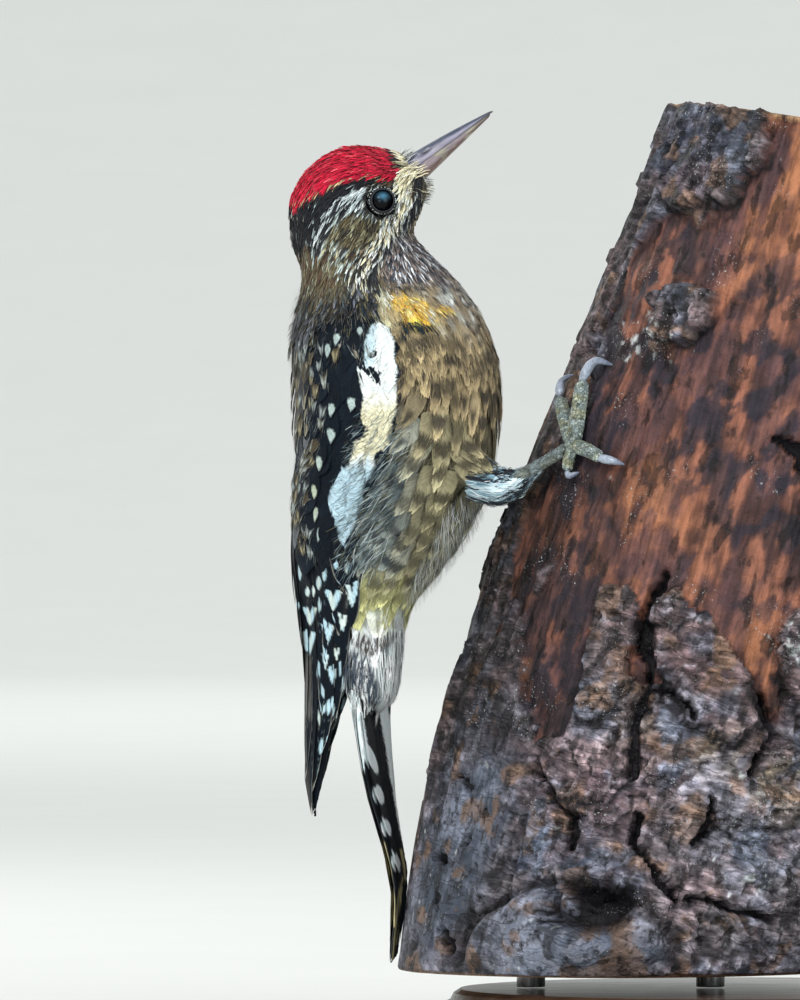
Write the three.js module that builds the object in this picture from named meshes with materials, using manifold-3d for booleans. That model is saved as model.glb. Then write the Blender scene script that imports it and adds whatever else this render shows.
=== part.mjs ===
// A young yellow-bellied sapsucker, life size, clinging to a short cut length of leaning trunk.
// The trunk is held by two short rods on a round display base. Millimetres, +Z up, and the origin
// is at the centre of the base's underside. +X runs from the bird's back towards the trunk and -Y
// is the side on which the bird's right foot grips.
import * as THREE from "three";
import { mergeVertices } from "three/addons/utils/BufferGeometryUtils.js";
import Module from "manifold-3d";

const wasm = await Module();
wasm.setup();

// ---- Driving dimensions ----

const GAP = 0.3; // clearance between neighbouring pieces
const SLACK = 0.05; // spare room past the gap, for rounding

const BASE_RADIUS = 72;
const BASE_THICK = 8;
const BASE_CHAMFER = 1;

const PERCH_FOOT = 12.5; // height of the trunk's lower cut
const PERCH_HEAD = 217; // height of its upper cut, on the axis
const PERCH_HEAD_SLOPE = -0.16; // the upper saw cut runs down towards +X
const PERCH_RADIUS = 57;
const PERCH_TAPER = 5; // radius lost from foot to head
const PERCH_X = -29.2; // where the axis starts, at the foot
const PERCH_Y = 1.5;
const PERCH_LEAN = 0.183; // lean at the foot, as run over rise
const PERCH_BEND = 0.000566; // how fast the lean grows with height

const ROD_RADIUS = 3.5;
const ROD_TOP = 27;
const ROD_SPREAD = 22; // each rod's distance from the trunk's axis at the foot

const BIRD_X = -85.75; // the bird's upright axis
const BIRD_TURN = THREE.MathUtils.degToRad(-20); // the belly turns towards -Y
const HEAD_Y = 2;
const HEAD_PITCH = THREE.MathUtils.degToRad(24.6);
const EYE_RADIUS = 3.5;
const BILL_LENGTH = 22;
const BILL_PITCH = THREE.MathUtils.degToRad(36.3);

// ---- Solids and meshes ----

// The solid of a geometry, with its faces pointing out.
function solidOf(geometry) {
  geometry.deleteAttribute("normal");
  geometry.deleteAttribute("uv");
  const merged = mergeVertices(geometry, 1e-3);
  const triVerts = new Uint32Array(merged.index.array);
  const vertProperties = new Float32Array(merged.attributes.position.array);
  const made = new wasm.Manifold(new wasm.Mesh({ numProp: 3, vertProperties, triVerts }));
  if (made.volume() > 0) return made;
  for (let i = 0; i < triVerts.length; i += 3) {
    [triVerts[i + 1], triVerts[i + 2]] = [triVerts[i + 2], triVerts[i + 1]];
  }
  return new wasm.Manifold(new wasm.Mesh({ numProp: 3, vertProperties, triVerts }));
}

// A closed skin over a sphere's grid: pointAt(turn, along, target) with both from 0 to 1. All turns
// give one point at each end.
function closedForm(around, along, pointAt) {
  const form = new THREE.SphereGeometry(1, around, along);
  const places = form.getAttribute("uv");
  const points = form.getAttribute("position");
  const target = new THREE.Vector3();
  for (let i = 0; i < points.count; i++) {
    pointAt(places.getX(i), 1 - places.getY(i), target);
    points.setXYZ(i, target.x, target.y, target.z);
  }
  return solidOf(form);
}

// Smooth values between stations, whose first number is where they stand.
function between(stations) {
  const size = stations[0].length - 1;
  const where = stations.map((row) => row[0]);
  const values = stations.flatMap((row) => row.slice(1));
  const curve = new THREE.CubicInterpolant(where, values, size);
  return (at) => Array.from(curve.evaluate(THREE.MathUtils.clamp(at, where[0], where.at(-1))));
}

// 0 at a closed end and 1 from the given depth inwards, with a round shoulder.
function roundEnd(distance, depth) {
  const short = 1 - Math.min(1, Math.max(0, distance) / depth);
  return Math.sqrt(1 - short * short);
}

// Rings stand closer together towards both ends.
const easeEnds = (t) => 0.55 * t + 0.225 * (1 - Math.cos(Math.PI * t));

const signedPower = (x, power) => Math.sign(x) * Math.abs(x) ** power;

// A point of the bird's own frame (x to the belly, y to its left side) in the part's frame.
function fromBird(x, y, z, target) {
  const cos = Math.cos(BIRD_TURN);
  const sin = Math.sin(BIRD_TURN);
  return target.set(BIRD_X + x * cos - y * sin, x * sin + y * cos, z);
}

// A tapered round limb along a smooth line, its ends rounded.
function limb(points, radii, around, along, grow = 0) {
  const line = new THREE.CatmullRomCurve3(points.map((p) => new THREE.Vector3(...p)));
  const frames = line.computeFrenetFrames(along, false);
  const length = line.getLength();
  const radiusAt = between(radii.map((r, i) => [i / (radii.length - 1), r]));
  return closedForm(around, along, (turn, t, target) => {
    const s = easeEnds(t);
    const k = Math.round(t * along);
    const ends = [radii[0], radii.at(-1)].map((r) => r + grow + 0.2);
    const swell = roundEnd(s * length, ends[0]) * roundEnd((1 - s) * length, ends[1]);
    const r = Math.max(0, radiusAt(s)[0] + grow) * swell;
    const a = turn * 2 * Math.PI;
    line.getPointAt(s, target);
    target.addScaledVector(frames.normals[k], r * Math.cos(a));
    target.addScaledVector(frames.binormals[k], r * Math.sin(a));
  });
}

// ---- The trunk that it clings to ----

const perchAxis = (z) => {
  const rise = z - PERCH_FOOT;
  return PERCH_X + PERCH_LEAN * rise + PERCH_BEND * rise * rise;
};

// A round bump, from 1 at its middle to 0, at an angle and height on the trunk.
function bumpAt(angle, z, middle, height, wide, tall) {
  const across = Math.atan2(Math.sin(angle - middle), Math.cos(angle - middle)) * PERCH_RADIUS;
  return Math.exp(-(((across / wide) ** 2) + (((z - height) / tall) ** 2)));
}

// Radius in a level slice, at an angle round the axis: a taper, slow swells, ribs of bark that
// wander as they climb, one knot low on the -Y side, and on the bird's side a shallow waist and the
// hollow that the tail props into.
function perchRadius(angle, z) {
  const share = (z - PERCH_FOOT) / (PERCH_HEAD - PERCH_FOOT);
  const swells = 0.9 * Math.sin(2 * angle + 1 + 2 * share) + 0.6 * Math.sin(3 * angle - 5 * share);
  const ribs = 0.45 * Math.sin(9 * angle + 3 * Math.sin(6 * share)) * Math.cos(14 * share + angle);
  const knot = 5 * bumpAt(angle, z, -1.74, 24, 13, 12);
  const hollow = 3.2 * bumpAt(angle, z, Math.PI, PERCH_FOOT, 15, 21);
  const waist = 1.9 * bumpAt(angle, z, Math.PI, 172, 90, 36);
  return PERCH_RADIUS - PERCH_TAPER * share + swells + ribs + knot - hollow - waist;
}

function perchPoint(angle, z, lift = 0) {
  const r = perchRadius(angle, z) + lift;
  return [perchAxis(z) + r * Math.cos(angle), PERCH_Y + r * Math.sin(angle), z];
}

// The point of the bark at a given x and height, on the -Y side (side -1) or the +Y side.
function onBark(x, z, side, lift = 0) {
  let angle = Math.PI;
  for (let i = 0; i < 12; i++) {
    const cos = (x - perchAxis(z)) / (perchRadius(angle, z) + lift);
    angle = side * Math.acos(THREE.MathUtils.clamp(cos, -1, 1));
  }
  return perchPoint(angle, z, lift);
}

function perchSolid(grow = 0) {
  const form = new THREE.CylinderGeometry(1, 1, 1, 32, 13).rotateX(Math.PI / 2);
  const points = form.getAttribute("position");
  for (let i = 0; i < points.count; i++) {
    const [x, y, h] = [points.getX(i), points.getY(i), points.getZ(i) + 0.5];
    const angle = Math.atan2(y, x);
    const level = PERCH_FOOT - grow + h * (PERCH_HEAD - PERCH_FOOT + 2 * grow);
    const reach = Math.hypot(x, y) * (perchRadius(angle, level) + grow);
    const drop = PERCH_HEAD_SLOPE * h * reach * Math.cos(angle);
    const z = level + drop;
    points.setXYZ(i, perchAxis(z) + reach * Math.cos(angle), PERCH_Y + reach * Math.sin(angle), z);
  }
  return solidOf(form);
}

// ---- Body, neck and head ----

// Height, centre towards the belly, half depth and half width, from the tail coverts to the neck.
const BODY = [
  [75.9, -4.4, 4.8, 7.0],
  [82.1, -4.7, 6.0, 8.8],
  [91.9, -4.3, 6.8, 10.0],
  [101.7, -4.2, 8.6, 12.0],
  [110.2, -1.8, 13.8, 15.5],
  [121.3, 0.5, 19.5, 20.0],
  [133.5, 1.4, 23.5, 23.0],
  [145.8, 1.7, 25.5, 24.5],
  [158.0, 1.6, 25.6, 24.5],
  [169.0, 0.4, 23.7, 23.0],
  [177.6, -1.6, 20.7, 20.0],
  [182.5, -3.1, 17.8, 16.8],
  [186.9, -6.4, 16.6, 15.0],
  [192.3, -10.2, 15.1, 13.5],
  [196.5, -10.6, 13.6, 12.0],
];
const BODY_FOOT = 75;
const BODY_TOP = 201;

function bodySolid(grow = 0) {
  const at = between(BODY);
  return closedForm(20, 23, (turn, t, target) => {
    const z = THREE.MathUtils.lerp(BODY_FOOT - grow, BODY_TOP + grow, easeEnds(t));
    const [centre, depth, width] = at(z);
    const swell = roundEnd(z - BODY_FOOT + grow, 6) * roundEnd(BODY_TOP + grow - z, 6);
    const a = turn * 2 * Math.PI;
    const x = centre + swell * (depth + grow) * Math.cos(a);
    fromBird(x, swell * (width + grow) * Math.sin(a), z, target);
  });
}

// Distance from the back of the skull towards the bill, then mid height, half height, half width.
const HEAD = [
  [0, -2.0, 3.2, 3.0],
  [1.2, -1.8, 5.4, 5.4],
  [4, -1.9, 8.2, 8.4],
  [8.5, -1.7, 11.3, 11.0],
  [14, -1.6, 13.0, 12.2],
  [19.5, -1.8, 13.5, 11.9],
  [25, -2.5, 12.1, 10.3],
  [29, -2.5, 9.3, 8.3],
  [32, -1.9, 6.8, 6.3],
  [35, -1.2, 4.2, 4.4],
  [36.6, -1.0, 3.0, 3.4],
];
const HEAD_LENGTH = 36.6;
const CHEEK_DROP = 1.6; // the widest part lies this far below mid height
const HEAD_BACK = [-110.5, 195.2]; // x and z of the back of the skull

// A point of the head's own frame (along to the bill, up to the crown) in the part's frame.
function fromHead(along, side, up, target) {
  const cos = Math.cos(HEAD_PITCH);
  const sin = Math.sin(HEAD_PITCH);
  const [x, z] = HEAD_BACK;
  return target.set(x + along * cos - up * sin, HEAD_Y + side, z + along * sin + up * cos);
}

function headSolid(grow = 0) {
  const at = between(HEAD);
  return closedForm(18, 15, (turn, t, target) => {
    const s = THREE.MathUtils.lerp(-grow, HEAD_LENGTH + grow, easeEnds(t));
    const [middle, height, width] = at(s);
    const swell = roundEnd(s + grow, 3.5) * roundEnd(HEAD_LENGTH + grow - s, 2);
    const a = turn * 2 * Math.PI;
    const side = swell * (width + grow) * Math.sin(a);
    const up = middle + swell * ((height + grow) * Math.cos(a) - CHEEK_DROP * Math.sin(a) ** 2);
    fromHead(s, side, up, target);
  });
}

// A tilted slab between two heights above the neck's middle, as wide as the bird.
const NECK = [-94, 0, 184.5];
const NECK_TILT = THREE.MathUtils.degToRad(-22);

function neckSlab(low, high) {
  const box = new THREE.BoxGeometry(120, 120, high - low).translate(0, 0, (low + high) / 2);
  return solidOf(box.rotateY(NECK_TILT).translate(...NECK));
}

// ---- Eyes and bill ----

const EYE_PLACE = [22.7, 8.75, -4.5]; // along, out to the side and up in the head's frame

function eyeSolid(side, grow = 0) {
  const centre = fromHead(EYE_PLACE[0], side * EYE_PLACE[1], EYE_PLACE[2], new THREE.Vector3());
  return solidOf(new THREE.SphereGeometry(EYE_RADIUS + grow, 14, 9).translate(...centre));
}

const BILL_BASE = [-78.2, 209.9]; // x and z of the middle of the bill's root
const BILL_ROOT = 5; // how far the bill runs back into the face

// Half of the bill above (side 1) or below the mouth line: a straight wedge with a chisel tip.
function mandible(side, grow = 0) {
  const depth = side > 0 ? 3.0 : 3.1;
  const bow = side > 0 ? 0.2 : 0;
  const cos = Math.cos(BILL_PITCH);
  const sin = Math.sin(BILL_PITCH);
  return closedForm(14, 10, (turn, t, target) => {
    const root = -BILL_ROOT - 2 * grow;
    const s = THREE.MathUtils.lerp(root, BILL_LENGTH - (side > 0 ? 0 : 0.8), easeEnds(t));
    const share = THREE.MathUtils.clamp(s / BILL_LENGTH, 0, 1);
    const swell = roundEnd(s - root, 1) * roundEnd(BILL_LENGTH - s, 1.2);
    const high = (depth * (1 - share) + 0.35 + bow * Math.sin(Math.PI * share)) * swell + 2 * grow;
    const wide = (3.1 * (1 - share) ** 0.85 + 0.5) * swell + grow;
    const a = turn * 2 * Math.PI;
    const up = side * (GAP / 2 - grow + high * Math.max(0, Math.cos(a)) ** 1.15);
    const lateral = wide * signedPower(Math.sin(a), 0.8) * (Math.cos(a) < 0 ? 0.9 : 1);
    const closed = t === 0 || t === 1;
    const rise = closed ? (side * GAP) / 2 : up;
    target.set(
      BILL_BASE[0] + s * cos - rise * sin,
      HEAD_Y + (closed ? 0 : lateral),
      BILL_BASE[1] + s * sin + rise * cos,
    );
    if (!closed && Math.cos(a) <= 0) {
      const under = side * (0.02 * Math.cos(a));
      target.x -= under * sin;
      target.z += under * cos;
    }
  });
}

// ---- Wings and tail ----

// Height, then the guide's centre, half depth and half width, the wing's first and last angle from
// the belly, and its thickness, from the wing tip to the shoulder.
const WING = [
  [50.2, -18.6, 2.0, 2.0, 90, 172, 1.2],
  [57.6, -17.0, 4.2, 3.8, 80, 173, 2.0],
  [67.4, -15.0, 6.0, 5.5, 78, 174, 2.5],
  [79.6, -12.6, 8.2, 7.5, 76, 174, 3.0],
  [91.9, -9.5, 12.2, 10.5, 83, 173, 3.4],
  [104.1, -6.5, 17.1, 15.0, 78, 171, 3.8],
  [116.4, -4.3, 20.7, 19.6, 88, 166, 4.0],
  [128.6, -0.8, 24.6, 23.4, 82, 156, 4.2],
  [140.9, 0.8, 26.3, 25.0, 73, 142, 4.2],
  [153.1, 1.3, 26.6, 25.4, 70, 130, 4.2],
  [167.8, 0.2, 24.8, 24.2, 69, 122, 4.0],
  [173.5, -0.8, 22.9, 22.4, 72, 116, 3.2],
];
const WING_TIP = 49;
const WING_SHOULDER = 174;
const WING_TUCK = 34; // the left wing's tip is folded this far in under the right one's

// The right wing has side 1 and the left one -1.
function wingSolid(side, grow = 0) {
  const at = between(WING);
  return closedForm(12, 19, (turn, t, target) => {
    const z = THREE.MathUtils.lerp(WING_TIP - grow, WING_SHOULDER + grow, easeEnds(t));
    const [centre, depth, width, edge1, last, thick] = at(z);
    const tuck = side < 0 ? WING_TUCK * THREE.MathUtils.smoothstep(-z, -108, -80) : 0;
    const first = edge1 + tuck;
    const swell = roundEnd(z - WING_TIP + grow, 9) * roundEnd(WING_SHOULDER + grow - z, 8);
    const a = turn * 2 * Math.PI;
    const edge = THREE.MathUtils.radToDeg(grow / depth);
    const half = ((last - first) / 2 + edge) * swell;
    const angle = THREE.MathUtils.degToRad((first + last) / 2 + half * Math.cos(a));
    const lift = swell * (thick / 2 + grow) * signedPower(Math.sin(a), 0.7) - thick / 2;
    const x = centre + (depth + lift) * Math.cos(angle);
    fromBird(x, side * -(width + lift) * Math.sin(angle), z, target);
  });
}

// Share of the tail's length, then height, place towards the belly, full width and thickness.
const TAIL = [
  [0, 84, -5.8, 17, 3.2],
  [0.12, 75.5, -6.1, 20.5, 3.0],
  [0.26, 65.6, -5.1, 19.0, 2.6],
  [0.42, 54.8, -3.1, 16.5, 2.2],
  [0.57, 44.3, -0.2, 12.5, 1.9],
  [0.71, 34.5, 2.2, 11.0, 1.8],
  [0.82, 26.4, 2.2, 9.0, 1.6],
  [0.94, 17.8, 1.0, 5.6, 1.4],
  [1, 13.6, 0.3, 2.4, 1.1],
];
const TAIL_ARCH = 1.1; // how far the middle stands above the edges, as a share of thickness

function tailSolid(grow = 0) {
  const at = between(TAIL);
  return closedForm(12, 16, (turn, t, target) => {
    const s = easeEnds(t);
    const [z, x, width, thick] = at(s);
    const swell = roundEnd(s, 0.04) * roundEnd(1 - s, 0.03);
    const a = turn * 2 * Math.PI;
    const side = Math.cos(a);
    const lift = (thick / 2 + grow) * signedPower(Math.sin(a), 0.75) * swell;
    const arch = TAIL_ARCH * thick * 0.5 * side * side * swell;
    fromBird(x + lift + arch, swell * (width / 2 + grow) * side, z, target);
  });
}

// ---- Legs, toes and claws ----

// Each foot: the middle of the sole and the toes, as x and z of each point on the bark. Toes 2 and
// 3 reach up, toe 4 out to the side and the small toe 1 down.
const FEET = {
  right: {
    side: -1,
    sole: [-41.4, 140.9],
    hip: [-71, -14.5, 136.5],
    heel: [-58.0, -22.5, 131.0],
    toes: {
      1: { reach: [[-42.4, 137.4], [-42.7, 134.6]], claw: [[-42.6, 133.4], [-39.6, 134.4]], radius: 1.25 },
      2: { reach: [[-43.0, 146.4], [-44.4, 152.8]], claw: [[-43.8, 157.0], [-40.6, 158.2]], radius: 1.6 },
      3: { reach: [[-40.0, 148.6], [-38.8, 157.2]], claw: [[-36.4, 161.4], [-31.2, 160.2]], radius: 1.75 },
      4: { reach: [[-37.8, 139.6], [-34.4, 137.6]], claw: [[-31.6, 137.0], [-28.7, 136.0]], radius: 1.5 },
    },
  },
  left: {
    side: 1,
    sole: [-44.6, 136.4],
    hip: [-70, 7, 134.5],
    heel: [-58.5, 13.5, 129.5],
    toes: {
      1: { reach: [[-45.8, 132.6], [-46.2, 129.8]], claw: [[-46.0, 128.4], [-43.4, 129.0]], radius: 1.25 },
      2: { reach: [[-45.2, 142.0], [-45.2, 148.0]], claw: [[-44.0, 152.0], [-41.2, 153.0]], radius: 1.6 },
      3: { reach: [[-42.2, 144.6], [-40.6, 153.0]], claw: [[-38.6, 158.0], [-34.0, 156.8]], radius: 1.75 },
      4: { reach: [[-40.4, 135.2], [-36.8, 133.6]], claw: [[-34.4, 133.2], [-31.4, 132.2]], radius: 1.5 },
    },
  },
};
const TARSUS_RADIUS = 1.75;
const THIGH_RADII = [6.2, 5.0, 2.9];
const CLAW_REST = GAP + SLACK; // how far a claw's tip stays off the bark

function thighSolid({ hip, heel }, grow = 0) {
  const middle = hip.map((v, i) => (v + heel[i]) / 2);
  return limb([hip, middle, heel], THIGH_RADII, 12, 8, grow);
}

// The sole stands off the bark by its own radius.
const soleOf = ({ sole, side }) => onBark(...sole, side, TARSUS_RADIUS + GAP + SLACK);

function tarsusSolid(foot, grow = 0) {
  const sole = soleOf(foot);
  const middle = foot.heel.map((v, i) => (v + sole[i]) / 2);
  const radii = [TARSUS_RADIUS + 0.35, TARSUS_RADIUS - 0.15, TARSUS_RADIUS];
  return limb([foot.heel, middle, sole], radii, 10, 7, grow);
}

function toeSolid(foot, { reach, radius }, grow = 0) {
  const lift = radius + GAP + SLACK;
  const pads = reach.map(([x, z]) => onBark(x, z, foot.side, lift));
  return limb([soleOf(foot), ...pads], [radius + 0.1, radius, radius * 0.85], 7, 6, grow);
}

// A claw leaves the toe's end, arches off the bark and comes down to a point.
function clawSolid(foot, { reach, claw, radius }) {
  const [x, z] = reach.at(-1);
  const root = onBark(x, z, foot.side, radius + GAP + SLACK);
  const crest = onBark(...claw[0], foot.side, radius * 1.1 + CLAW_REST);
  const tip = onBark(...claw[1], foot.side, CLAW_REST + 0.25);
  return limb([root, crest, tip], [radius * 0.72, radius * 0.55, 0.16], 6, 6);
}

// The four toes joined by the ball of the foot.
function footSolid(foot, grow = 0) {
  const ball = new THREE.SphereGeometry(TARSUS_RADIUS + 0.15 + grow, 8, 6);
  const toes = Object.values(foot.toes).map((toe) => toeSolid(foot, toe, grow));
  return toes.reduce((all, toe) => all.add(toe), solidOf(ball.translate(...soleOf(foot))));
}

// ---- Stand ----

function baseSolid() {
  const [r, h, c] = [BASE_RADIUS, BASE_THICK, BASE_CHAMFER];
  const profile = [[0, 0], [r - c, 0], [r, c], [r, h - c], [r - c, h], [0, h]];
  const lathe = new THREE.LatheGeometry(profile.map(([x, y]) => new THREE.Vector2(x, y)), 44);
  return solidOf(lathe.rotateX(Math.PI / 2));
}

function rodSolid(x, grow = 0) {
  const length = ROD_TOP - BASE_THICK - GAP;
  const rod = new THREE.CylinderGeometry(ROD_RADIUS + grow, ROD_RADIUS + grow, length + 2 * grow, 24);
  rod.rotateX(Math.PI / 2);
  return solidOf(rod.translate(x, PERCH_Y, BASE_THICK + GAP + length / 2));
}

// ---- Assembly: pieces are cut by what they meet, so that none overlap ----

const colours = {
  plumage: { color: 0x8a7a5c, roughness: 0.85 },
  crown: { color: 0x9c6f52, roughness: 0.8 },
  wing: { color: 0x17191d, roughness: 0.6 },
  tail: { color: 0x24262b, roughness: 0.6 },
  bill: { color: 0x4d4f5c, roughness: 0.35 },
  eye: { color: 0x0b0908, roughness: 0.05 },
  foot: { color: 0x6e7a6a, roughness: 0.6 },
  claw: { color: 0x59616e, roughness: 0.4 },
  wood: { color: 0x5a3628, roughness: 0.85 },
  stand: { color: 0x26211e, roughness: 0.45 },
  rod: { color: 0x9a9a98, roughness: 0.3, metalness: 0.9 },
};
const finishes = Object.fromEntries(
  Object.entries(colours).map(([name, look]) => [name, new THREE.MeshStandardMaterial(look)]),
);

// A named mesh whose own origin is the middle of its solid.
function node(name, solid, finish) {
  const mesh = solid.getMesh();
  const points = new Float32Array(mesh.numVert * 3);
  for (let i = 0; i < mesh.numVert; i++) {
    points.set(mesh.vertProperties.subarray(i * mesh.numProp, i * mesh.numProp + 3), i * 3);
  }
  const geometry = new THREE.BufferGeometry();
  geometry.setAttribute("position", new THREE.BufferAttribute(points, 3));
  geometry.setIndex(new THREE.BufferAttribute(mesh.triVerts, 1));
  geometry.computeBoundingBox();
  const middle = geometry.boundingBox.getCenter(new THREE.Vector3());
  geometry.translate(-middle.x, -middle.y, -middle.z);
  geometry.computeVertexNormals();
  const made = new THREE.Mesh(geometry, finishes[finish]);
  made.name = name;
  made.position.copy(middle);
  return made;
}

// The largest piece of a solid, without the slivers that a cut may leave.
const largest = (solid) => solid.decompose().sort((a, b) => b.volume() - a.volume())[0];

function birdGroup() {
  const bird = new THREE.Group();
  const flesh = bodySolid().add(headSolid());
  const fleshRoom = bodySolid(GAP).add(headSolid(GAP));
  const perchRoom = perchSolid(GAP);
  const eyes = { right: -1, left: 1 };
  const wings = { right: wingSolid(1), left: wingSolid(-1) };
  const wingRoom = wingSolid(1, GAP).add(wingSolid(-1, GAP));
  const eyeRoom = eyeSolid(-1, GAP).add(eyeSolid(1, GAP));

  const coverts = solidOf(new THREE.BoxGeometry(120, 120, 60).translate(BIRD_X, 0, 70));
  const covertsRoom = solidOf(new THREE.BoxGeometry(120, 120, 60 + 2 * GAP).translate(BIRD_X, 0, 70));
  const billRoom = mandible(1, GAP).add(mandible(-1, GAP));
  const inlaid = flesh.subtract(wingRoom).subtract(eyeRoom).subtract(billRoom);
  bird.add(node("head", largest(inlaid.intersect(neckSlab(GAP, 80))), "crown"));
  bird.add(node("neck", largest(inlaid.intersect(neckSlab(-7, 0))), "plumage"));
  const torso = inlaid.intersect(neckSlab(-160, -7 - GAP));
  bird.add(node("body", largest(torso.subtract(covertsRoom)), "plumage"));
  bird.add(node("tail_coverts", largest(torso.intersect(coverts)), "plumage"));

  bird.add(node("bill_upper", mandible(1), "bill"));
  bird.add(node("bill_lower", mandible(-1), "bill"));
  for (const [name, side] of Object.entries(eyes)) {
    bird.add(node(`eye_${name}`, eyeSolid(side), "eye"));
    bird.add(node(`wing_${name}`, largest(wings[name]), "wing"));
  }
  bird.add(node("tail", largest(tailSolid().subtract(fleshRoom).subtract(perchRoom)), "tail"));

  for (const [name, foot] of Object.entries(FEET)) {
    const thigh = thighSolid(foot).subtract(fleshRoom).subtract(perchRoom);
    const toes = footSolid(foot).subtract(perchRoom);
    const shank = tarsusSolid(foot).subtract(thighSolid(foot, GAP)).subtract(fleshRoom);
    const tarsus = shank.subtract(footSolid(foot, GAP)).subtract(perchRoom);
    bird.add(node(`thigh_${name}`, largest(thigh), "plumage"));
    bird.add(node(`tarsus_${name}`, largest(tarsus), "foot"));
    bird.add(node(`foot_${name}`, largest(toes), "foot"));
    for (const [number, toe] of Object.entries(foot.toes)) {
      const claw = clawSolid(foot, toe).subtract(footSolid(foot, GAP)).subtract(perchRoom);
      bird.add(node(`claw_${name}_${number}`, largest(claw), "claw"));
    }
  }
  return bird;
}

function standGroup() {
  const stand = new THREE.Group();
  const rods = [-1, 1].map((side) => PERCH_X + side * ROD_SPREAD);
  const drilled = rods.reduce((wood, x) => wood.subtract(rodSolid(x, GAP)), perchSolid());
  stand.add(node("perch_trunk", drilled, "wood"));
  stand.add(node("stand_base", baseSolid(), "stand"));
  rods.forEach((x, i) => stand.add(node(`stand_rod_${i + 1}`, rodSolid(x), "rod")));
  return stand;
}

const part = new THREE.Group();
part.add(birdGroup(), standGroup());

export default part;
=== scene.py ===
import math

import bmesh
import bpy
import numpy as np
from mathutils import Matrix, Vector, noise
from mathutils.bvhtree import BVHTree


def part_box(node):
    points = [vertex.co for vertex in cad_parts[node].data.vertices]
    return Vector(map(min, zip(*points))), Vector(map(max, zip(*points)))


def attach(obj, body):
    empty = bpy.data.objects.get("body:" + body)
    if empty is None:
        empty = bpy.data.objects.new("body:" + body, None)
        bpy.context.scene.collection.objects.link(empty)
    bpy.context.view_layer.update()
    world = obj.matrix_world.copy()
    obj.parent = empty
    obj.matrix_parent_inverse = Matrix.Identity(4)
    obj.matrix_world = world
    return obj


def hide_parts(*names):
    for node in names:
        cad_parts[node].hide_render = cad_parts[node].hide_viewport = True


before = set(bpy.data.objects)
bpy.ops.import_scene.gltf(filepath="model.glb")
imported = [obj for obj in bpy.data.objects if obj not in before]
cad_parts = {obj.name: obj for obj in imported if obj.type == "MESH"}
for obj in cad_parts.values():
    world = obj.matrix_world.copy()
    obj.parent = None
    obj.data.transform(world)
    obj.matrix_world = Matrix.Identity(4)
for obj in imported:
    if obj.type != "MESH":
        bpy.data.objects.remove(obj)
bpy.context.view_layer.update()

# ---- Camera ----
# A long lens, level with the bird's belly and square to its right side. Depth of field stays off,
# and colours are shown as they are.
def put(name, data):
    """A new object in the scene."""
    made = bpy.data.objects.new(name, data)
    bpy.context.collection.objects.link(made)
    return made


camera = put("camera", bpy.data.cameras.new("camera"))
camera.data.lens = 440.8
camera.data.sensor_width = 36
camera.location = (-0.0833, -3.0, 0.1276)
camera.rotation_euler = (math.pi / 2, 0, 0)
bpy.context.scene.camera = camera
bpy.context.scene.view_settings.view_transform = "Standard"

# ---- Studio ----
# One seamless sheet of pale paper, wide enough to walk round on, that curves up far behind. A broad
# lamp up on the left gives the form, weaker ones low on the left and on the right fill, and one
# behind lights edges. A wide one high over the far paper keeps the whole ground pale.
FLOOR_REACH = 6.0
FLOOR_BEND = 3.2
FLOOR_TOP = 3.0
FLOOR_SIDE = 9.0
FLOOR_LEVEL = -0.0004
BEND_STEPS = 16


def lamp(name, place, size, power, tint, target):
    light = bpy.data.lights.new(name, "AREA")
    light.shape = "DISK"
    light.size = size
    light.energy = power
    light.color = tint
    holder = put(name, light)
    holder.location = place
    holder.visible_camera = False
    holder.rotation_euler = (Vector(target) - Vector(place)).to_track_quat("-Z", "Y").to_euler()


lamp("key_lamp", (-0.85, -1.5, 1.5), 0.9, 25, (1, 0.98, 0.95), (-0.02, 0, 0.12))
lamp("fill_lamp", (1.4, -1.7, 0.5), 1.5, 21, (0.93, 0.97, 1), (-0.02, 0, 0.12))
lamp("low_lamp", (-0.75, -2.2, 0.25), 0.8, 9, (0.97, 0.98, 1), (-0.08, 0, 0.07))
lamp("edge_lamp", (-1.0, 0.9, 0.9), 0.7, 7, (1, 1, 1), (-0.02, 0, 0.12))
lamp("paper_lamp", (0, 4.1, 3.4), 3.0, 75, (1, 1, 0.99), (0, 5.6, 0))

sky = bpy.data.worlds.new("studio")
sky.use_nodes = True
sky.node_tree.nodes["Background"].inputs["Color"].default_value = (0.93, 0.97, 1, 1)
sky.node_tree.nodes["Background"].inputs["Strength"].default_value = 0.62
bpy.context.scene.world = sky


def meshed(form, smooth=True):
    """Turns a drawn form into a mesh."""
    made = bpy.data.meshes.new("form")
    form.to_mesh(made)
    form.free()
    if smooth:
        made.shade_smooth()
    return made


sheet = bmesh.new()
start = sheet.verts.new((-FLOOR_SIDE, -FLOOR_SIDE, FLOOR_LEVEL))
end = sheet.verts.new((FLOOR_SIDE, -FLOOR_SIDE, FLOOR_LEVEL))
edge = [sheet.edges.new((start, end))]
bend = [math.pi / 2 * k / BEND_STEPS for k in range(BEND_STEPS + 1)]
offsets = [(0, FLOOR_SIDE + FLOOR_REACH, 0)]
for low, high in zip(bend, bend[1:]):
    ahead, rise = math.sin(high) - math.sin(low), math.cos(low) - math.cos(high)
    offsets.append((0, FLOOR_BEND * ahead, FLOOR_BEND * rise))
offsets.append((0, 0, FLOOR_TOP))
for offset in offsets:
    grown = bmesh.ops.extrude_edge_only(sheet, edges=edge)["geom"]
    edge = [g for g in grown if isinstance(g, bmesh.types.BMEdge) and len(g.link_faces) == 1]
    bmesh.ops.translate(sheet, verts=list({v for e in edge for v in e.verts}), vec=offset)
bmesh.ops.recalc_face_normals(sheet, faces=sheet.faces)
floor = put("floor", meshed(sheet))
paper = bpy.data.materials.new("pale_paper")
paper.use_nodes = True
shader = paper.node_tree.nodes["Principled BSDF"]
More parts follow.
